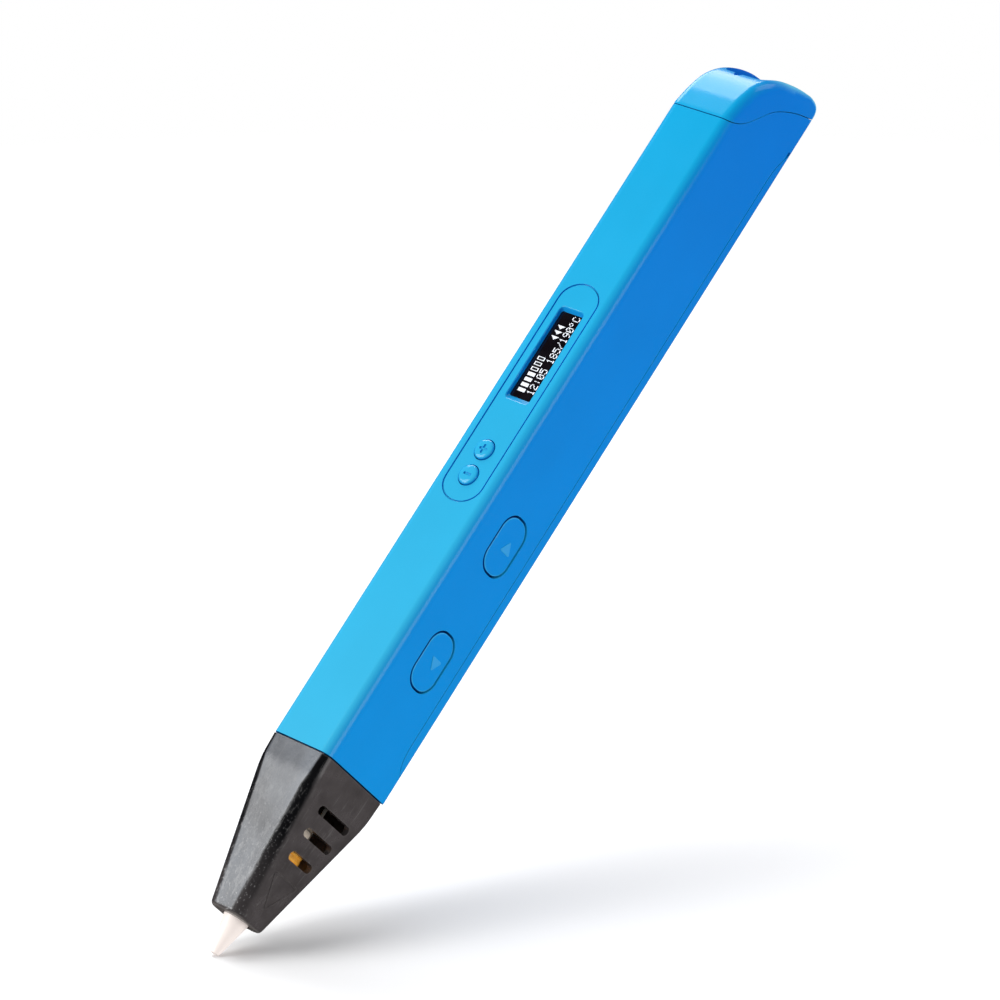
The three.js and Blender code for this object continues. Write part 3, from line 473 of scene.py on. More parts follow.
def black_cover():
    """scuffed black: top lighter by a painted reflection and by rubbed patches, upper ridge darker
    by a painted dark reflection, fine scratches and specks
    """
    m = Mat("black_heat_plastic")
    normal = m.add("ShaderNodeNewGeometry").outputs["Normal"]
    up = m.axis("Z", normal)
    near = m.ramp(m.axis("X"), over=(-0.0847, -0.058), to=(1, 0))   # 1 at the nozzle end
    cloud = m.noise(scale=240, detail=5, rough=0.62, seed=4)
    broad = m.noise(scale=95, detail=3, stretch=(0.5, 1, 1), seed=6)
    patch = m.noise(scale=760, detail=5, rough=0.7, stretch=(0.5, 1, 1), seed=9)
    speck = m.noise(scale=2300, detail=2, rough=0.6, seed=8)
    scratch = m.noise(scale=1500, detail=2, stretch=(0.06, 1.6, 1.6), seed=1)
    side = m.mix(m.ramp(cloud, over=(0.35, 0.68)), srgb(66, 61, 61), srgb(82, 77, 77))
    # Painted reflection: up-facing faces on the upper half take the lighter grey top colour, as a
    # softbox reflection. The rest keep the darker side colour.
    top = m.mix(m.ramp(broad, over=(0.35, 0.65)), srgb(70, 72, 76), srgb(112, 117, 124))
    upper = m.ramp(m.axis("Z"), over=(0.0075, 0.0085))
    base = m.mix(m.times(m.ramp(up, over=(0.93, 0.968)), upper), side, top)

    # Painted dark reflection: a near-black band along the upper ridge, weaker towards the nozzle
    # tip.
    ridge = m.times(m.ramp(up, over=(0.38, 0.62)), m.ramp(up, over=(0.945, 0.972), to=(1, 0)))
    fade = m.ramp(m.axis("X"), over=(-0.083, -0.070), to=(0.3, 1))
    ridge = m.times(ridge, m.times(fade, upper))
    base = m.mix(ridge, base, srgb(12, 12, 15))

    on_top = m.times(m.ramp(up, over=(0.90, 0.965)), upper)
    rub = m.times(m.ramp(patch, over=(0.50, 0.60)),
                  m.times(on_top, m.ramp(near, over=(0, 0.8), to=(0.10, 1))), clamp=True)
    base = m.mix(m.times(rub, 0.6), base, srgb(176, 177, 178))

    upward = m.times(m.ramp(up, over=(0.4, 0.95), to=(0.08, 1)), upper)
    dots = m.times(m.ramp(speck, over=(0.62, 0.68)), m.times(upward, near), clamp=True)
    base = m.mix(m.times(dots, 0.55), base, srgb(196, 196, 196))
    base = m.mix(m.ramp(scratch, over=(0.63, 0.70), to=(0, 0.26)), base, srgb(124, 122, 120))

    nose = m.times(m.ramp(m.axis("X", normal), over=(-0.45, -0.8), to=(0, 0.75)),
                   m.ramp(m.axis("X"), over=(-0.0845, -0.0835), to=(1, 0)))
    base = m.mix(nose, base, srgb(128, 122, 118))
    worn = m.wear(radius=0.0004, gain=3.5, scale=800, seed=13, most=0.5)
    base = m.mix(worn, base, srgb(120, 116, 112))
    roughness = m.plus(m.ramp(cloud, over=(0.3, 0.7), to=(0.36, 0.24)), m.times(rub, 0.16))
    m.set(color=base, rough=roughness, spec=0.5)
    grain = m.times(m.noise(scale=1500, detail=4, rough=0.6), 0.5)
    height = m.plus(grain, m.plus(m.times(patch, 0.8), m.times(scratch, 0.25)))
    m.bump(height, strength=0.45, distance=0.00010)
    return m.material


def simple(name, color, rough, metal=0.0, vary=0.12, scale=400, grain=1600, bump=0.12,
           stretch=(1, 1, 1), **extra):
    """two tones (color -/+ vary) in clouds of `scale`, lighter edges and a fine `grain`"""
    m = Mat(name)
    color = srgb(*color)
    cloud = m.noise(scale=scale, detail=4, rough=0.6, stretch=stretch, seed=len(name))
    base = m.mix(m.ramp(cloud, over=(0.3, 0.7)), scaled(color, 1 - vary), scaled(color, 1 + vary))
    worn = m.times(m.edge(radius=0.0002, gain=3.0), 0.35)
    base = m.mix(worn, base, scaled(color, 1.5, lift=0.04))
    fine = m.noise(scale=grain, detail=3, rough=0.6, stretch=stretch, seed=3)
    roughness = m.ramp(fine, over=(0.3, 0.7), to=(max(0.02, rough - 0.06), rough + 0.07))
    m.set(color=base, rough=roughness, metal=metal, **extra)
    m.bump(fine, strength=bump, distance=0.00006)
    return m.material


def tape():
    """glossy amber tape with darker bands for its overlapping wraps, and a painted glow of its own
    colour
    """
    m = Mat("amber_tape")
    bands = m.texture("ShaderNodeTexWave", {"Scale": 260, "Distortion": 1.2, "Detail": 2},
                      wave_type="BANDS", bands_direction="X").outputs["Fac"]
    cloud = m.noise(scale=500, detail=4, rough=0.6, seed=2)
    base = m.mix(m.ramp(cloud, over=(0.3, 0.7)), srgb(246, 160, 40), srgb(255, 200, 90))
    base = m.mix(m.times(bands, 0.35), base, srgb(176, 92, 18))
    # Painted glow: the tape emits a little of its own colour as painted light.
    m.set(color=base, rough=m.ramp(cloud, over=(0.3, 0.7), to=(0.16, 0.30)), spec=0.6,
          coat=0.5, coat_rough=0.1, emit=base, emit_s=0.20)
    height = m.plus(m.times(bands, 0.7), m.times(m.noise(scale=1100, detail=3, rough=0.6), 0.5))
    m.bump(height, strength=0.5, distance=0.00008)
    return m.material


def board_green():
    """circuit board: a brick pattern of tracks with round metal pads"""
    m = Mat("green_circuit_board")
    tracks = m.texture("ShaderNodeTexBrick", {"Scale": 330, "Mortar Size": 0.03,
                                              "Brick Width": 1.7, "Row Height": 0.32})
    tracks = tracks.outputs["Fac"]
    base = m.mix(m.ramp(tracks, over=(0, 1), to=(0, 0.6)), srgb(26, 96, 56), srgb(52, 138, 84))
    cells = m.texture("ShaderNodeTexVoronoi", {"Scale": 420})
    pad = m.ramp(cells.outputs["Distance"], over=(0.16, 0.2), to=(1, 0))
    base = m.mix(m.times(pad, 0.8), base, srgb(206, 196, 160))
    m.set(color=base, rough=m.ramp(pad, over=(0, 1), to=(0.3, 0.22)),
          metal=m.times(pad, 0.8), coat=0.3)
    m.bump(m.plus(tracks, pad), strength=0.25, distance=0.00005)
    return m.material


def screen_glass():
    """glossy black window with a faint smudge"""
    m = Mat("display_glass")
    smudge = m.noise(scale=180, detail=4, rough=0.6, seed=6)
    base = m.mix(m.ramp(smudge, over=(0.3, 0.7)), srgb(12, 8, 12), srgb(24, 17, 24))
    m.set(color=base, rough=m.ramp(smudge, over=(0.3, 0.7), to=(0.10, 0.2)), spec=0.45,
          coat=0.4, coat_rough=0.06)
    m.bump(m.noise(scale=90, detail=2), strength=0.03, distance=0.0001)
    return m.material


def lit_dots():
    """glowing near-white display dots"""
    m = Mat("lit_pixels")
    n = m.noise(scale=2600, detail=2)
    glow = m.mix(m.ramp(n, over=(0.35, 0.65)), (0.78, 0.86, 0.95, 1), (1.0, 1.0, 1.0, 1))
    m.set(color=(0.8, 0.84, 0.88, 1), rough=m.ramp(n, over=(0.3, 0.7), to=(0.45, 0.6)),
          emit=glow, emit_s=0.5)
    m.bump(n, strength=0.05, distance=0.00001)
    return m.material


TURNED = (1, 6, 6)   # noise stretch of lathe marks around X
MATERIALS = {        # by material slot
    "blue_shell": blue_plastic("blue_satin_plastic", rough=0.40, is_key=False),
    "blue_key": blue_plastic("blue_key_plastic", rough=0.36, is_key=True),
    "black_cover": black_cover(),
    # painted glow: the ceramic emits a little warm light of its own
    "nozzle_ceramic": simple("white_ceramic", (254, 243, 236), rough=0.40, vary=0.02, scale=300,
                             grain=900, bump=0.08, emit=(1.0, 0.86, 0.80, 1), emit_s=0.16),
    "steel": simple("turned_steel", (196, 198, 202), rough=0.26, metal=1.0, vary=0.08, scale=500,
                    grain=2600, stretch=TURNED),
    "brass": simple("machined_brass", (205, 168, 92), rough=0.28, metal=1.0, vary=0.10,
                    scale=450, grain=2200),
    "bare_metal": simple("drawn_metal_can", (182, 184, 188), rough=0.32, metal=1.0, vary=0.06,
                         scale=200, grain=1800, stretch=(0.2, 3, 3)),
    "natural_plastic": simple("natural_nylon", (228, 224, 212), rough=0.5, vary=0.04, scale=150,
                              grain=1500, sss=0.2, sss_scale=0.001),
    "clear_tube": simple("milky_tube", (236, 238, 236), rough=0.28, vary=0.03, scale=220,
                         grain=700, sss=0.5, sss_scale=0.001),
    "dark_plastic": simple("black_moulding", (38, 38, 42), rough=0.45, vary=0.15, scale=500,
                           grain=2400),
    # painted glow: the insulator emits a little light of its own
    "insulator": simple("matt_insulator", (238, 226, 208), rough=0.75, vary=0.08, scale=700,
                        grain=1800, bump=0.3, emit=(0.8, 0.7, 0.6, 1), emit_s=0.14),
    "red_insulation": simple("red_silicone", (178, 34, 28), rough=0.42, vary=0.08, scale=500,
                             grain=1500),
    "white_insulation": simple("braided_sleeve", (222, 218, 206), rough=0.7, vary=0.1,
                               scale=3000, grain=5200, bump=0.5),
    "heater_tape": tape(),
    "circuit_board": board_green(),
    "ribbon_film": simple("ribbon_film", (204, 142, 62), rough=0.24, vary=0.12, scale=900,
                          grain=2600, stretch=(1, 8, 1), coat=0.3),
    "screen": screen_glass(),
}
TINTED_STEEL = simple("heat_tinted_steel", (44, 42, 46), rough=0.42, metal=0.6, vary=0.2,
                      scale=500, grain=2600, stretch=TURNED)
LIT_DOTS = lit_dots()

# ==================================================================================
# Outer form, shared by the housing, the rear cover and the end cap
# ==================================================================================
# Rear end in side view, (s, z) from the top edge round to the underside
END_POINTS = [
    (170, 19.6), (173.94, 18.65), (177.45, 17.24), (180.35, 14.83), (182.55, 11.5),
    (184.09, 7.73), (184.85, 4.4), (184.97, 2.3), (184.5, 0.85), (183.3, 0.1), (181.4, 0)]
END = [(min(s, 184.99), max(0.0, min(z, BODY_H))) for s, z in spline(END_POINTS, 80)]
# Seam between housing and end cap in side view, (s, z) from above the body to below it
SEAM = spline([
    (169.25, 20.6), (169.3, 19.6), (169.5, 18.6), (170.1, 17.3), (170.9, 16.0), (172.2, 14.6),
    (174.6, 12.6), (176.8, 10.8), (178.6, 8.4), (180.2, 5.5), (181.4, 2.6), (182.3, 0.0),
    (182.6, -0.8)], 72)


def cross(a, b):
    return a[0] * b[1] - a[1] * b[0]


def unfold(p, q):
    """where the inset q of outline p has folded over itself, its points move to where the two
    sound stretches cross"""
    q = q.copy()
    n = len(p)
    bad = [i for i in range(n - 1) if np.dot(p[i + 1] - p[i], q[i + 1] - q[i]) <= 1e-9]
    if not bad:
        return q
    for grow in range(30):
        a, b = max(min(bad) - grow, 1), min(max(bad) + 1 + grow, n - 2)
        d1, d2 = q[a] - q[a - 1], q[b + 1] - q[b]
        den = cross(d1, d2)
        if abs(den) < 1e-9:
            continue
        w = q[b] - q[a - 1]
        t, u = cross(w, d2) / den, cross(w, d1) / den
        if -1e-6 <= t <= 1.5 and -0.5 <= u <= 1.000001:
            q[a:b + 1] = q[a - 1] + d1 * t
            return q
    return q


def outer_form():
    """solid body: the side outline repeated across Y, drawn in along its rounded edges"""
    p = np.array([(s, BODY_H) for s in (30.0, 60, 90, 120, 150, 160, 166)] + END
                 + [(s, 0.0) for s in (176.0, 166, 150, 120, 90, 60, 30)])
    n = len(p)
    outward = np.zeros_like(p)
    for i in range(n):
        d = p[min(i + 1, n - 1)] - p[max(i - 1, 0)]
        outward[i] = (-d[1], d[0]) / np.hypot(*d)
    outward[0], outward[-1] = (0, 1), (0, -1)
    s, z = p[:, 0], p[:, 1]
    at_end = (s > 170.01) & (z < BODY_H - 0.01)
    lower = np.where(at_end, np.clip((8.5 - z) / 5.0, 0, 1), np.where(z < 1, 1.0, 0.0))
    upper_r = EDGE_R + EDGE_GROWTH * np.clip((s - 171.0) / 8.0, 0, 1)
    r = upper_r * (1 - lower) + REAR_R * lower
    rings, steps = [], 10
    turns = [(-1, k) for k in range(steps, -1, -1)] + [(1, k) for k in range(steps + 1)]
    for side, k in turns:
        t = math.pi / 2 * k / steps
        inset = r * (1 - math.cos(t))
        y = side * (BODY_W / 2 - r * (1 - math.sin(t)))
        q = unfold(p, p - outward * inset[:, None])
        rings.append([(q[i, 0] - HALF, y[i], q[i, 1]) for i in range(n)])
    return stack(rings)


def cap_region(shift):
    return prism([(s + shift, z) for s, z in SEAM] + [(195, -0.8), (195, 20.6)], -9, 9, "y")


def cover_region(grow):
    """the rear cover's part of the underside, enlarged by grow"""
    s0, s1 = COVER_START, COVER_END
    front = [(s0 - grow, -1.2), (s0 - grow * 0.8, 0.1), (s0 + 0.7 - grow * 0.6, 1.0 + grow * 0.4),
             (s0 + 2.4, 1.95 + grow), (s0 + 5.0, 2.4 + grow)]
    back = [(s1 - 6.5, 2.08 + grow), (s1 - 4.6, 1.9 + grow),
            (s1 - 2.6 + grow * 0.4, 1.35 + grow * 0.9), (s1 - 1.1 + grow * 0.7, 0.75 + grow * 0.6),
            (s1 - 0.2 + grow * 0.9, 0.1), (s1 + grow, -1.2)]
    return prism(spline(front, 24) + spline(back, 24), -9, 9, "y")


def inner_outline(gap, n):
    """cross-section of the hollow, smaller by gap"""
    return rrect(0, BODY_H / 2, BODY_W - 2 * WALL - gap, BODY_H - 2 * WALL - gap, 1.0, n)


def cavity():
    return prism(inner_outline(0, 4), 32.0, 195.0, "x")


def panel_outline(grow, end):
    return oval(PANEL_MID, 0, PANEL_L + grow, PANEL_W + grow, end)


def build_housing():
    o = boolean(outer_form(), box(20, 37.3, -9, 9, -3, 23), cavity(),
                cap_region(-SEAM_GAP), cover_region(SEAM_GAP),
                prism(panel_outline(0.06, 3.62), 17.0, 21.0, "z"),
                prism(panel_outline(0.56, 3.85), 19.28, 21.0, "z"))
    key_gap = 0.31
    for s in (FEED_S, RETRACT_S):
        hole = rrect(s, SIDE_Z, SIDE_L + 2 * key_gap, SIDE_H + 2 * key_gap, SIDE_R + key_gap, 14)
        o = boolean(o, prism(hole, -9, -5, "y"))
    # round posts under the top wall, bored from below
    for s in (82, 160):
        o = boolean(o, prism(circle(s, 0, 1.7, 28), 15.05, 18.9, "z"), op="UNION")
        o = boolean(o, prism(circle(s, 0, BORE_R, 20), 14.0, 18.3, "z"))
    # square posts on the +Y wall, bored from below
    for s, top in ((90.5, 7.0), (129.5, 8.0)):
        o = boolean(o, box(s - 1.5, s + 1.5, 3.1, 6.5, 3.35, top), op="UNION")
        o = boolean(o, prism(circle(s, 4.4, BORE_R, 20), 2.0, top - 0.6, "z"))
    # thumb-nail slot at the rear end of the cover seam
    o = boolean(o, box(172.9, 174.6, -8, -6.45, 0.55, 1.25))
    place(soften(o, 0.13), "housing_shell", "pen_body", "blue_shell", "main_housing")


def build_rear_cover():
    o = boolean(outer_form(), cover_region(0.0), op="INTERSECT")
    o = boolean(o, cavity())
    place(soften(o, 0.11), "rear_cover_shell", "pen_body", "blue_shell", "rear_cover")


def build_end_cap():
    o = boolean(outer_form(), cap_region(0.0), op="INTERSECT")
    # tongue that reaches into the housing; side outline (s, z)
    side = [(171, 0), (171, 17.9), (176.2, 17.0), (179.0, 15.2), (181.2, 12.0), (182.6, 8),
            (183.4, 4), (183.0, 0)]
    tongue = boolean(prism(inner_outline(0.6, 6), 172, 182, "x"), prism(side, -7, 7, "y"),
                     op="INTERSECT")
    o = boolean(o, tongue, op="UNION")
    floor_front, floor_back = 176.2, 177.6   # pocket floor, from the inside to the outside
    o = boolean(o, box(160, floor_front, -4.6, 4.6, 2.6, 16.6),
                prism(rrect(0, 8.95, 9.7, 12.1, 1.6, 10), floor_back, 195, "x"),
                prism(circle(2.9, 11.3, 1.3, 40), 175, 179, "x"),
                prism(circle(-1.3, 6.3, 2.6, 48), 175, 179, "x"),
                prism(circle(0.7, 14.95, 0.9, 28), floor_back, 195, "x"))
    place(soften(o, 0.2), "end_cap_shell", "pen_body", "blue_shell", "end_cap")


# ==================================================================================
# Control panel, display and keys
# ==================================================================================
# Window opening from below upwards: z, centre s, length, width, corner radius
WINDOW_RINGS = [
    (17.0, WINDOW_MID, 18.9, 5.7, 0.7), (18.72, WINDOW_MID, 18.9, 5.7, 0.7),
    (18.722, 117.22, 17.75, 5.35, 0.45), (19.34, 117.08, 18.9, 5.42, 0.6),
    (19.45, 117.06, 19.15, 5.52, 0.7), (19.52, 117.05, 19.4, 5.7, 0.85),
    (19.56, 117.05, 19.7, 5.95, 1.0), (19.7, 117.05, 20.8, 7.0, 1.4)]


def build_panel():
    o = prism(panel_outline(0, 3.6), 17.5, 19.55, "z")
    flange = prism(oval(PANEL_MID, 0, PANEL_L + 2.4, 10.6, 4.2), 17.5, 18.1, "z")
    o = boolean(o, flange, op="UNION")
    o = boolean(o, stack([ring(rrect(mid, 0.02, length, width, r, 8), "z", z)
                          for z, mid, length, width, r in WINDOW_RINGS]))
    for s in (MINUS_S, PLUS_S):
        o = boolean(o, prism(circle(s, 0, ROUND_KEY_R + ROUND_KEY_GAP, 56), 17, 20, "z"))
    place(soften(o, 0.09), "control_panel_plate", "pen_body", "blue_shell", "control_panel")


def build_window():
    o = prism(rrect(WINDOW_MID, 0.08, 18.7, 5.5, 0.6, 8), 17.1, 18.7, "z")
    place(soften(o, 0.08), "display_window", "pen_body", "screen", "screen_window")


# Dots of each sign, 5 across, rows from the top; F and E are level bars, < an arrow, d a degree
GLYPHS = {
    "0": "01110 10001 10011 10101 11001 10001 01110",
    "1": "00100 01100 00100 00100 00100 00100 01110",
    "2": "01110 10001 00001 00110 01000 10000 11111",
    "5": "11111 10000 11110 00001 00001 10001 01110",
    "8": "01110 10001 10001 01110 10001 10001 01110",
    "9": "01110 10001 10001 01111 00001 00010 01100",
    "/": "00001 00001 00010 00100 01000 10000 10000",
    ":": "00000 00100 00100 00000 00100 00100 00000",
    "d": "01100 10010 10010 01100 00000 00000 00000",
    "C": "01110 10001 10000 10000 10000 10001 01110",
    "F": "11110 11110 11110 11110 11110 11110 11110",
    "E": "11110 10010 10010 10010 10010 10010 11110",
    "<": "00010 00110 01110 11110 01110 00110 00010",
    " ": "",
}
READOUT = (("FFFFEEE   <<<", 1.78), ("12:05 185/190dC", -0.28))   # text and its top y
READOUT_S = 109.65
DOT_L, DOT_W = 0.182, 0.24          # dot pitch along s and along y
DOT_GAP_S, DOT_GAP_Y = 0.02, 0.025  # taken off each side of a run of dots
SIGN_DOTS = 6                       # dots from one sign to the next


def build_readout():
    """each run of lit dots is a thin raised block, read from the nozzle towards the cap"""
    verts, faces = [], []
    for text, top in READOUT:
        for i, sign in enumerate(text):
            for row, bits in enumerate(GLYPHS[sign].split()):
                y1 = top - row * DOT_W - DOT_GAP_Y
                y0 = top - (row + 1) * DOT_W + DOT_GAP_Y
                for run in re.finditer("1+", bits):
                    s0 = READOUT_S + (i * SIGN_DOTS + run.start()) * DOT_L + DOT_GAP_S
                    s1 = READOUT_S + (i * SIGN_DOTS + run.end()) * DOT_L - DOT_GAP_S
                    k = len(verts)
                    for z in (18.702, 18.716):
                        verts += ring([(s0, y0), (s1, y0), (s1, y1), (s0, y1)], "z", z)
                    faces += [(k, k + 3, k + 2, k + 1), (k + 4, k + 5, k + 6, k + 7)]
                    faces += [(k + j, k + (j + 1) % 4, k + 4 + (j + 1) % 4, k + 4 + j)
                              for j in range(4)]
    place(new_obj(verts, faces), "display_readout", "pen_body", "screen", material=LIT_DOTS)


# Round key from its flange up to its domed top: z, radius
ROUND_KEY_PROFILE = [
    (16.75, 0), (16.75, 2.30), (16.80, 2.42), (16.95, 2.45), (17.12, 2.42), (17.2, 2.3),
    (17.2, ROUND_KEY_R), (19.60, ROUND_KEY_R), (19.74, 1.89), (19.85, 1.80), (19.93, 1.64),
    (19.99, 1.40), (20.03, 1.10), (20.055, 0.75), (20.068, 0.38), (20.072, 0)]
# Groove of a key mark: z, growth in size
MARK_RINGS = ((19.80, 0), (19.99, 0), (20.06, 0.08), (20.2, 0.3))
MARK_L, MARK_W, MARK_R = 1.75, 0.42, 0.19


def build_round_key(name, s, bars, body, node):
    """domed key with sunk bars, each given as (size along s, size along y)"""
    o = lathe(ROUND_KEY_PROFILE, "z", (s, 0), 72)
    for w, h in bars:
        o = boolean(o, stack([ring(rrect(s, 0, w + e, h + e, MARK_R + e / 2, 5), "z", z)
                              for z, e in MARK_RINGS]))
    place(soften(o, angle=38), name, body, "blue_key", node)


# Side key from its root out to its face: y, inset of the outline
SIDE_KEY_RINGS = ((-5.2, 0), (-6.62, 0.0), (-6.80, 0.04), (-6.91, 0.11), (-6.99, 0.22),
                  (-7.03, 0.38), (-7.045, 0.6), (-7.05, 1.0))
# Raised triangle: y, scale; then its corners as s, z and start angle
TRIANGLE_RINGS = ((-6.9, 1.0), (-7.12, 1.0), (-7.155, 0.93), (-7.17, 0.84))
TRIANGLE = ((1.0, 0.0, -60), (-0.75, 1.12, 60), (-0.75, -1.12, 180))
TRIANGLE_Z = SIDE_Z - 0.6


def build_side_key(name, s, direction, body, node):
    """long key with a raised triangle that points along s in the given direction"""
    o = stack([ring(rrect(s, SIDE_Z, SIDE_L - 2 * e, SIDE_H - 2 * e, SIDE_R - e, 14), "y", y)
               for y, e in SIDE_KEY_RINGS])
    flange = prism(rrect(s, SIDE_Z, SIDE_L + 1.6, SIDE_H + 1.3, 3.7, 12), -5.5, -5.15, "y")
    o = boolean(o, flange, op="UNION")
    rings = []
    for y, scale in TRIANGLE_RINGS:
        corners = [(cx * scale, cz * scale, start) for cx, cz, start in TRIANGLE]
        outline = [(s + direction * a, TRIANGLE_Z + b)
                   for a, b in rounded_triangle(corners, 0.2, 6)]
        rings.append(ring(outline, "y", y))
    o = boolean(o, stack(rings), op="UNION")
    place(soften(o, angle=38), name, body, "blue_key", node)


# ==================================================================================
# Nozzle cover
# ==================================================================================
# Sections: s, centre z, width, height, corner radius
NOSE_OUTSIDE = [
    (6.85, 9.32, 7.2, 7.65, 2.3), (6.91, 9.33, 7.65, 8.1, 2.42), (7.1, 9.34, 8.08, 8.55, 2.5),
    (7.4, 9.345, 8.35, 8.87, 2.58), (7.85, 9.36, 8.52, 9.1, 2.62),
    (31.0, 9.755, 13.72, 18.86, 2.3), (31.9, 9.765, 13.86, 19.12, 2.3),
    (32.7, 9.775, 13.97, 19.33, 2.25), (33.6, 9.79, 14.03, 19.45, 2.2),
    (37.0, 9.8, 14.06, 19.6, 2.0)]
NOSE_INSIDE = [(8.2, 9.3, 6.6, 7.1, 2.0), (32.7, 9.8, 11.6, 17.1, 1.6), (35.6, 9.8, 11.7, 17.2, 1.6)]
NOSE_STATIONS = [6.85, 6.91, 7.1, 7.4, 7.85, 12, 16, 20, 24, 28, 31.0, 31.9, 32.7, 33.6, 35.3,
                 37.0]
# Upright slots through the -Y side: s, bottom z, top z
VENTS = ((20.4, 5.85, 12.75), (25.0, 4.7, 13.3), (29.4, 4.05, 13.8))
# Triangle outline on the vented side: s, z and start angle of each corner
NOSE_TRIANGLE = ((11.0, 9.45, 120), (16.2, 6.4, 240), (16.2, 12.4, 0))


def loft(rows, stations):
    """skin through the sections interpolated at the stations"""
    places, *columns = zip(*rows)
    rings = []
    for s in stations:
        mid, w, h, r = (float(np.interp(s, places, c)) for c in columns)
        rings.append(ring(rrect(0, mid, w, h, r, 12), "x", s))
    return stack(rings)


def nose_triangle(rings):
    """triangle that follows the slope of the -Y side; rings of (growth, height above it)"""
    places, _, widths, *_ = zip(*NOSE_OUTSIDE)
    return stack([[(a - HALF, -float(np.interp(a, places, widths)) / 2 - lift, b)
                   for a, b in rounded_triangle(NOSE_TRIANGLE, 0.35 + grow, 8)]
                  for grow, lift in rings])


def build_nozzle_cover():
    o = loft(NOSE_OUTSIDE, NOSE_STATIONS)
    # collar that reaches into the housing
    o = boolean(o, prism(rrect(0, 9.8, 11.0, 16.6, 1.0, 6), 36.3, 41.5, "x"), op="UNION")
    o = boolean(o, loft(NOSE_INSIDE, [8.2, 20, 32.7, 35.6]),
                prism(rrect(0, 9.8, 9.0, 14.6, 1.0, 6), 35, 43, "x"),
                prism(circle(0, NOZZLE_Z, 2.75, 56), 6, 10, "x"))
    for s, z0, z1 in VENTS:
        o = boolean(o, prism(rrect(s, (z0 + z1) / 2, 1.7, z1 - z0, 0.84, 10), -9, -2.5, "y"))
    mark = boolean(nose_triangle(((0.17, -0.4), (0.17, 0.05), (0.10, 0.10))),
                   nose_triangle(((-0.17, -0.6), (-0.17, 0.05), (-0.10, 0.3))))
    o = boolean(o, mark, op="UNION")
    place(soften(o, 0.10, angle=34), "nozzle_cover_shell", "pen_body", "black_cover",
          "nozzle_cover")


# ==================================================================================
# Nozzle and the rings behind it, turned about the nozzle axis. Profiles are (s, radius).
# ==================================================================================
def build_nozzle():
    cone = [(0.3 + (7.0 - 0.3) * k / 8, 0.83 + (2.42 - 0.83) * k / 8) for k in range(1, 9)]
    profile = [(0.03, 0.30), (0.0, 0.38), (0.0, 0.58), (0.04, 0.68), (0.13, 0.76), (0.3, 0.83),
               *cone, (7.4, 2.45), (9.6, 2.45), (9.75, 2.40), (9.8, 2.3), (9.8, 1.1),
               (9.7, 1.0), (2.6, 1.0), (1.4, 0.3), (0.03, 0.30)]
    o = lathe(profile, "x", (0, NOZZLE_Z), 72)
    place(soften(o, angle=40), "nozzle_cone", "pen_body", "nozzle_ceramic", "ceramic_nozzle")


def heater_profile():
    """five bulging turns between rounded ends"""
    first_turn, pitch = 17.6, 1.15
    outer = [(17.3, 3.3), (17.36, 3.62), (17.5, 3.78)]
    for k in range(5):
        s = first_turn + k * pitch
        outer += [(s, 3.90), (s + 0.12, 4.05), (s + 0.6, 4.10), (s + 1.02, 4.03), (s + 1.10, 3.92)]
    return outer + [(23.4, 3.8), (23.6, 3.7), (23.7, 3.4)]


COLLAR = [(24.1, 2.8), (24.16, 2.98), (24.3, 3.08), (24.5, 3.1), (25.6, 3.1), (25.8, 3.07),
          (25.94, 2.97), (26.0, 2.8)]
WASHER = [(26.3, 3.2), (26.34, 3.27), (26.42, 3.3), (26.78, 3.3), (26.86, 3.27), (26.9, 3.2)]


def build_heater_ring(name, outer, n, slot, node):
    start, end = (outer[0][0], HEATER_BORE_R), (outer[-1][0], HEATER_BORE_R)
    o = lathe([start, *outer, end, start], "x", (0, NOZZLE_Z), n)
    place(soften(o, angle=30), name, "pen_body", slot, node)


build_housing()
build_rear_cover()
build_end_cap()
build_panel()
build_window()
build_readout()
ALONG, ACROSS = (MARK_L, MARK_W), (MARK_W, MARK_L)
build_round_key("minus_key_cap", MINUS_S, [ACROSS], "minus_key", "button_minus")
build_round_key("plus_key_cap", PLUS_S, [ACROSS, ALONG], "plus_key", "button_plus")
build_side_key("feed_key_cap", FEED_S, -1, "feed_key", "feed_button")
build_side_key("retract_key_cap", RETRACT_S, 1, "retract_key", "retract_button")
build_nozzle_cover()
build_nozzle()
build_heater_ring("heater_wrap", heater_profile(), 72, "heater_tape", "heater_sleeve")
build_heater_ring("insulator_ring", COLLAR, 64, "insulator", "insulator_collar")
build_heater_ring("clamp_ring", WASHER, 64, "steel", "clamp_washer")
bpy.data.collections.remove(work)

# CAD solids get the finish of their slot
for row in frame["record"]["subparts"]:
    o = frame["nodes"][row["node"]]
    o.data.materials.clear()
    o.data.materials.append(MATERIALS[row["material_slot"]])
for name in ("heat_break", "melt_tube"):
    frame["nodes"][name].data.materials[0] = TINTED_STEEL

# ==================================================================================
# Camera, floors and light, in metres
# ==================================================================================
TO_CAMERA = Vector((-0.217854, -0.639609, 0.737184)).normalized()
RIGHT = Vector((0.52045, -0.715103, -0.466647))
RIGHT = (RIGHT - RIGHT.dot(TO_CAMERA) * TO_CAMERA).normalized()
UP = TO_CAMERA.cross(RIGHT)
CAMERA_PLACE = Vector((-0.189857, -0.558702, 0.653036))
TIP = Vector((-HALF / 1000, 0.0, NOZZLE_Z / 1000))


def add_to_scene(name, data):
    o = bpy.data.objects.new(name, data)
    bpy.context.scene.collection.objects.link(o)
    return o


def build_camera():
    data = bpy.data.cameras.new("camera")
    cam = add_to_scene("camera", data)
    data.sensor_width, data.lens = 36.0, 181.571
    data.clip_start, data.clip_end = 0.05, 20
    turn = Matrix((RIGHT, UP, TO_CAMERA)).transposed().to_4x4()
    cam.matrix_world = Matrix.Translation(CAMERA_PLACE) @ turn
    bpy.context.scene.camera = cam


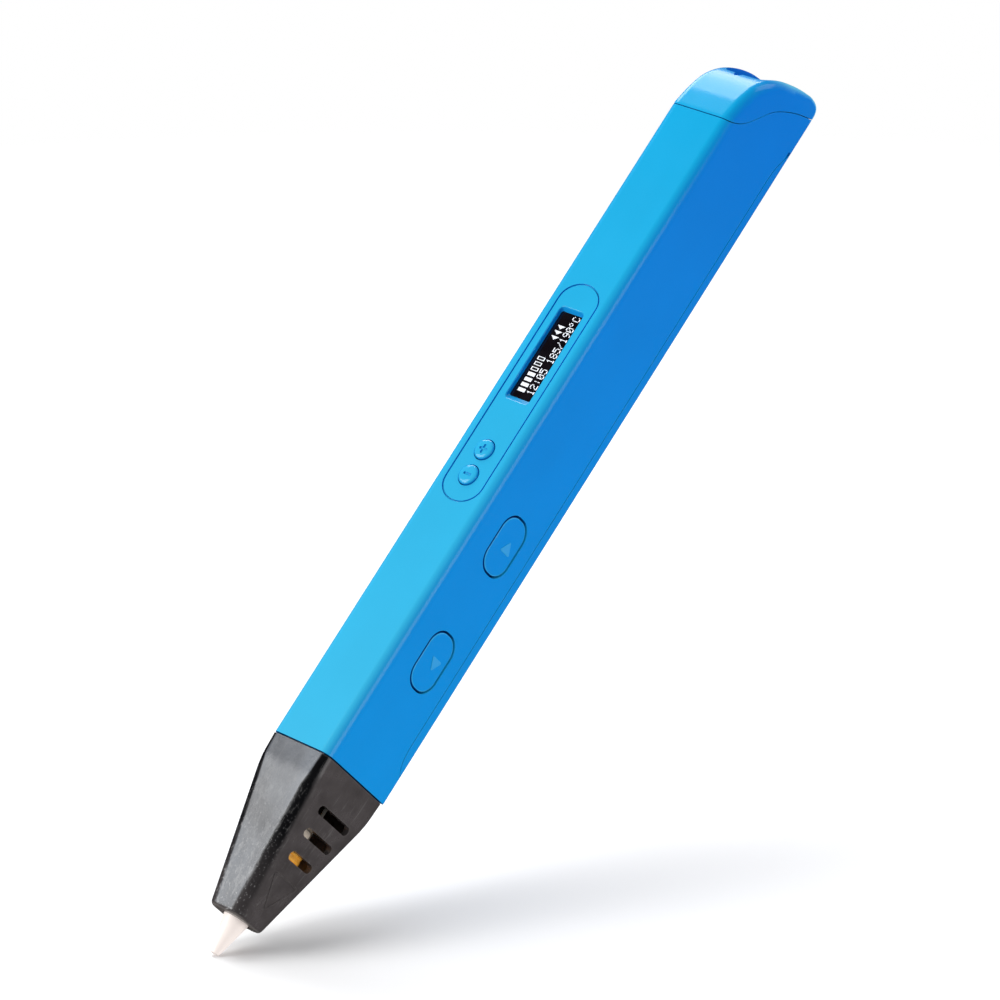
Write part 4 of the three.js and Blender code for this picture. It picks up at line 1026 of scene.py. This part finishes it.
def floor_material(name, main_view):
    """pale matt floor; each of the two floors shows only from its own viewing directions"""
    m = Mat(name)
    n = m.noise(scale=9, detail=3)
    fine = m.noise(scale=900, detail=2)
    if main_view:
        low, high = (0.70, 0.70, 0.70, 1), (0.715, 0.715, 0.719, 1)
    else:
        low, high = (0.86, 0.86, 0.86, 1), (0.88, 0.88, 0.885, 1)
    m.set(color=m.mix(n, low, high), rough=m.ramp(fine, over=(0.3, 0.7), to=(0.85, 0.95)),
          spec=0.1)
    m.bump(fine, strength=0.03, distance=0.0001)
    g = m.add("ShaderNodeNewGeometry")
    facing = m.dot(g.outputs["Incoming"], tuple(TO_CAMERA))
    seen = m.math("GREATER_THAN" if main_view else "LESS_THAN", facing, 0.95)
    # the floor fades out away from the pen
    away = m.add("ShaderNodeVectorMath", operation="LENGTH")
    m.link(g.outputs["Position"], away.inputs[0])
    seen = m.times(seen, m.ramp(away.outputs["Value"], over=(0.22, 0.60), to=(1, 0)))
    clear = m.add("ShaderNodeBsdfTransparent")
    mix = m.add("ShaderNodeMixShader")
    m.link(seen, mix.inputs[0])
    m.link(clear.outputs[0], mix.inputs[1])
    m.link(m.shader.outputs[0], mix.inputs[2])
    m.link(mix.outputs[0], m.out.inputs[0])
    return m.material


def floor(name, point, normal, main_view):
    """square plane through the point, seen by the camera only"""
    size = 3.0   # half its side
    z = Vector(normal).normalized()
    x = z.orthogonal().normalized()
    y = z.cross(x)
    p = Vector(point)
    me = bpy.data.meshes.new(name)
    corners = ((-1, -1), (1, -1), (1, 1), (-1, 1))
    me.from_pydata([tuple(p + x * a * size + y * b * size) for a, b in corners], [],
                   [(0, 1, 2, 3)])
    o = add_to_scene(name, me)
    me.materials.append(floor_material(name + "_paint", main_view))
    o.visible_diffuse = o.visible_glossy = o.visible_shadow = o.visible_transmission = False
    return o


def area(name, direction, distance, size, power, target=(0, 0, 0.01)):
    """rectangular light at a distance from the target, facing it"""
    data = bpy.data.lights.new(name, "AREA")
    data.shape = "RECTANGLE"
    data.size, data.size_y = size
    data.energy = power
    o = add_to_scene(name, data)
    d = Vector(direction).normalized()
    o.location = Vector(target) + d * distance
    o.rotation_mode = "QUATERNION"
    o.rotation_quaternion = d.to_track_quat("Z", "Y")
    return o


def build_lights(standing):
    area("overhead_softbox", (0.70, 0.66, 0.13), distance=0.9, size=(0.5, 0.62), power=5.2)
    area("face_softbox", (-0.24, 0.55, 0.80), distance=0.9, size=(0.5, 0.5), power=4.9)
    area("ridge_strip", (0.13, -0.97, 0.05), distance=0.8, size=(0.36, 0.45), power=1.1)
    bounce = area("floor_bounce", (0.10, -0.70, -0.70), distance=0.8, size=(0.5, 0.5), power=1.7)
    bounce.visible_glossy = False
    rim = area("end_rim", (0.98, -0.2, 0.0), distance=0.8, size=(0.4, 0.4), power=0.9)
    key = area("floor_key", UP + TO_CAMERA * 0.10 - RIGHT * 0.05, distance=2.2,
               size=(0.90, 0.90), power=27.0, target=TIP)
    # the floor key lights only the standing floor, the rim light everything else
    lit = bpy.data.collections.new("floor_only")
    lit.objects.link(standing)
    key.light_linking.receiver_collection = lit
    unlit = bpy.data.collections.new("all_but_floor")
    unlit.objects.link(standing)
    unlit.collection_objects[0].light_linking.link_state = "EXCLUDE"
    rim.light_linking.receiver_collection = unlit


def build_world():
    """white to the camera, near black in reflections, grey as light"""
    world = bpy.data.worlds.new("studio")
    bpy.context.scene.world = world
    world.use_nodes = True
    tree = world.node_tree
    rays = tree.nodes.new("ShaderNodeLightPath")

    def switch(ray, color):
        mix = tree.nodes.new("ShaderNodeMix")
        mix.data_type = "RGBA"
        tree.links.new(rays.outputs[ray], mix.inputs[0])
        mix.inputs[7].default_value = color
        return mix

    seen = switch("Is Camera Ray", (1, 1, 1, 1))
    seen.inputs[6].default_value = (0.57, 0.57, 0.58, 1)
    mirrored = switch("Is Glossy Ray", (0.012, 0.014, 0.016, 1))
    tree.links.new(seen.outputs[2], mirrored.inputs[6])
    tree.links.new(mirrored.outputs[2], tree.nodes["Background"].inputs[0])


build_camera()
standing_floor = floor("standing_floor", TIP - UP * 0.0004, UP + TO_CAMERA * 0.30, True)
floor("lying_floor", (0, 0, -0.00002), (0, 0, 1), False)
build_lights(standing_floor)
build_world()
bpy.context.scene.view_settings.view_transform = "Standard"
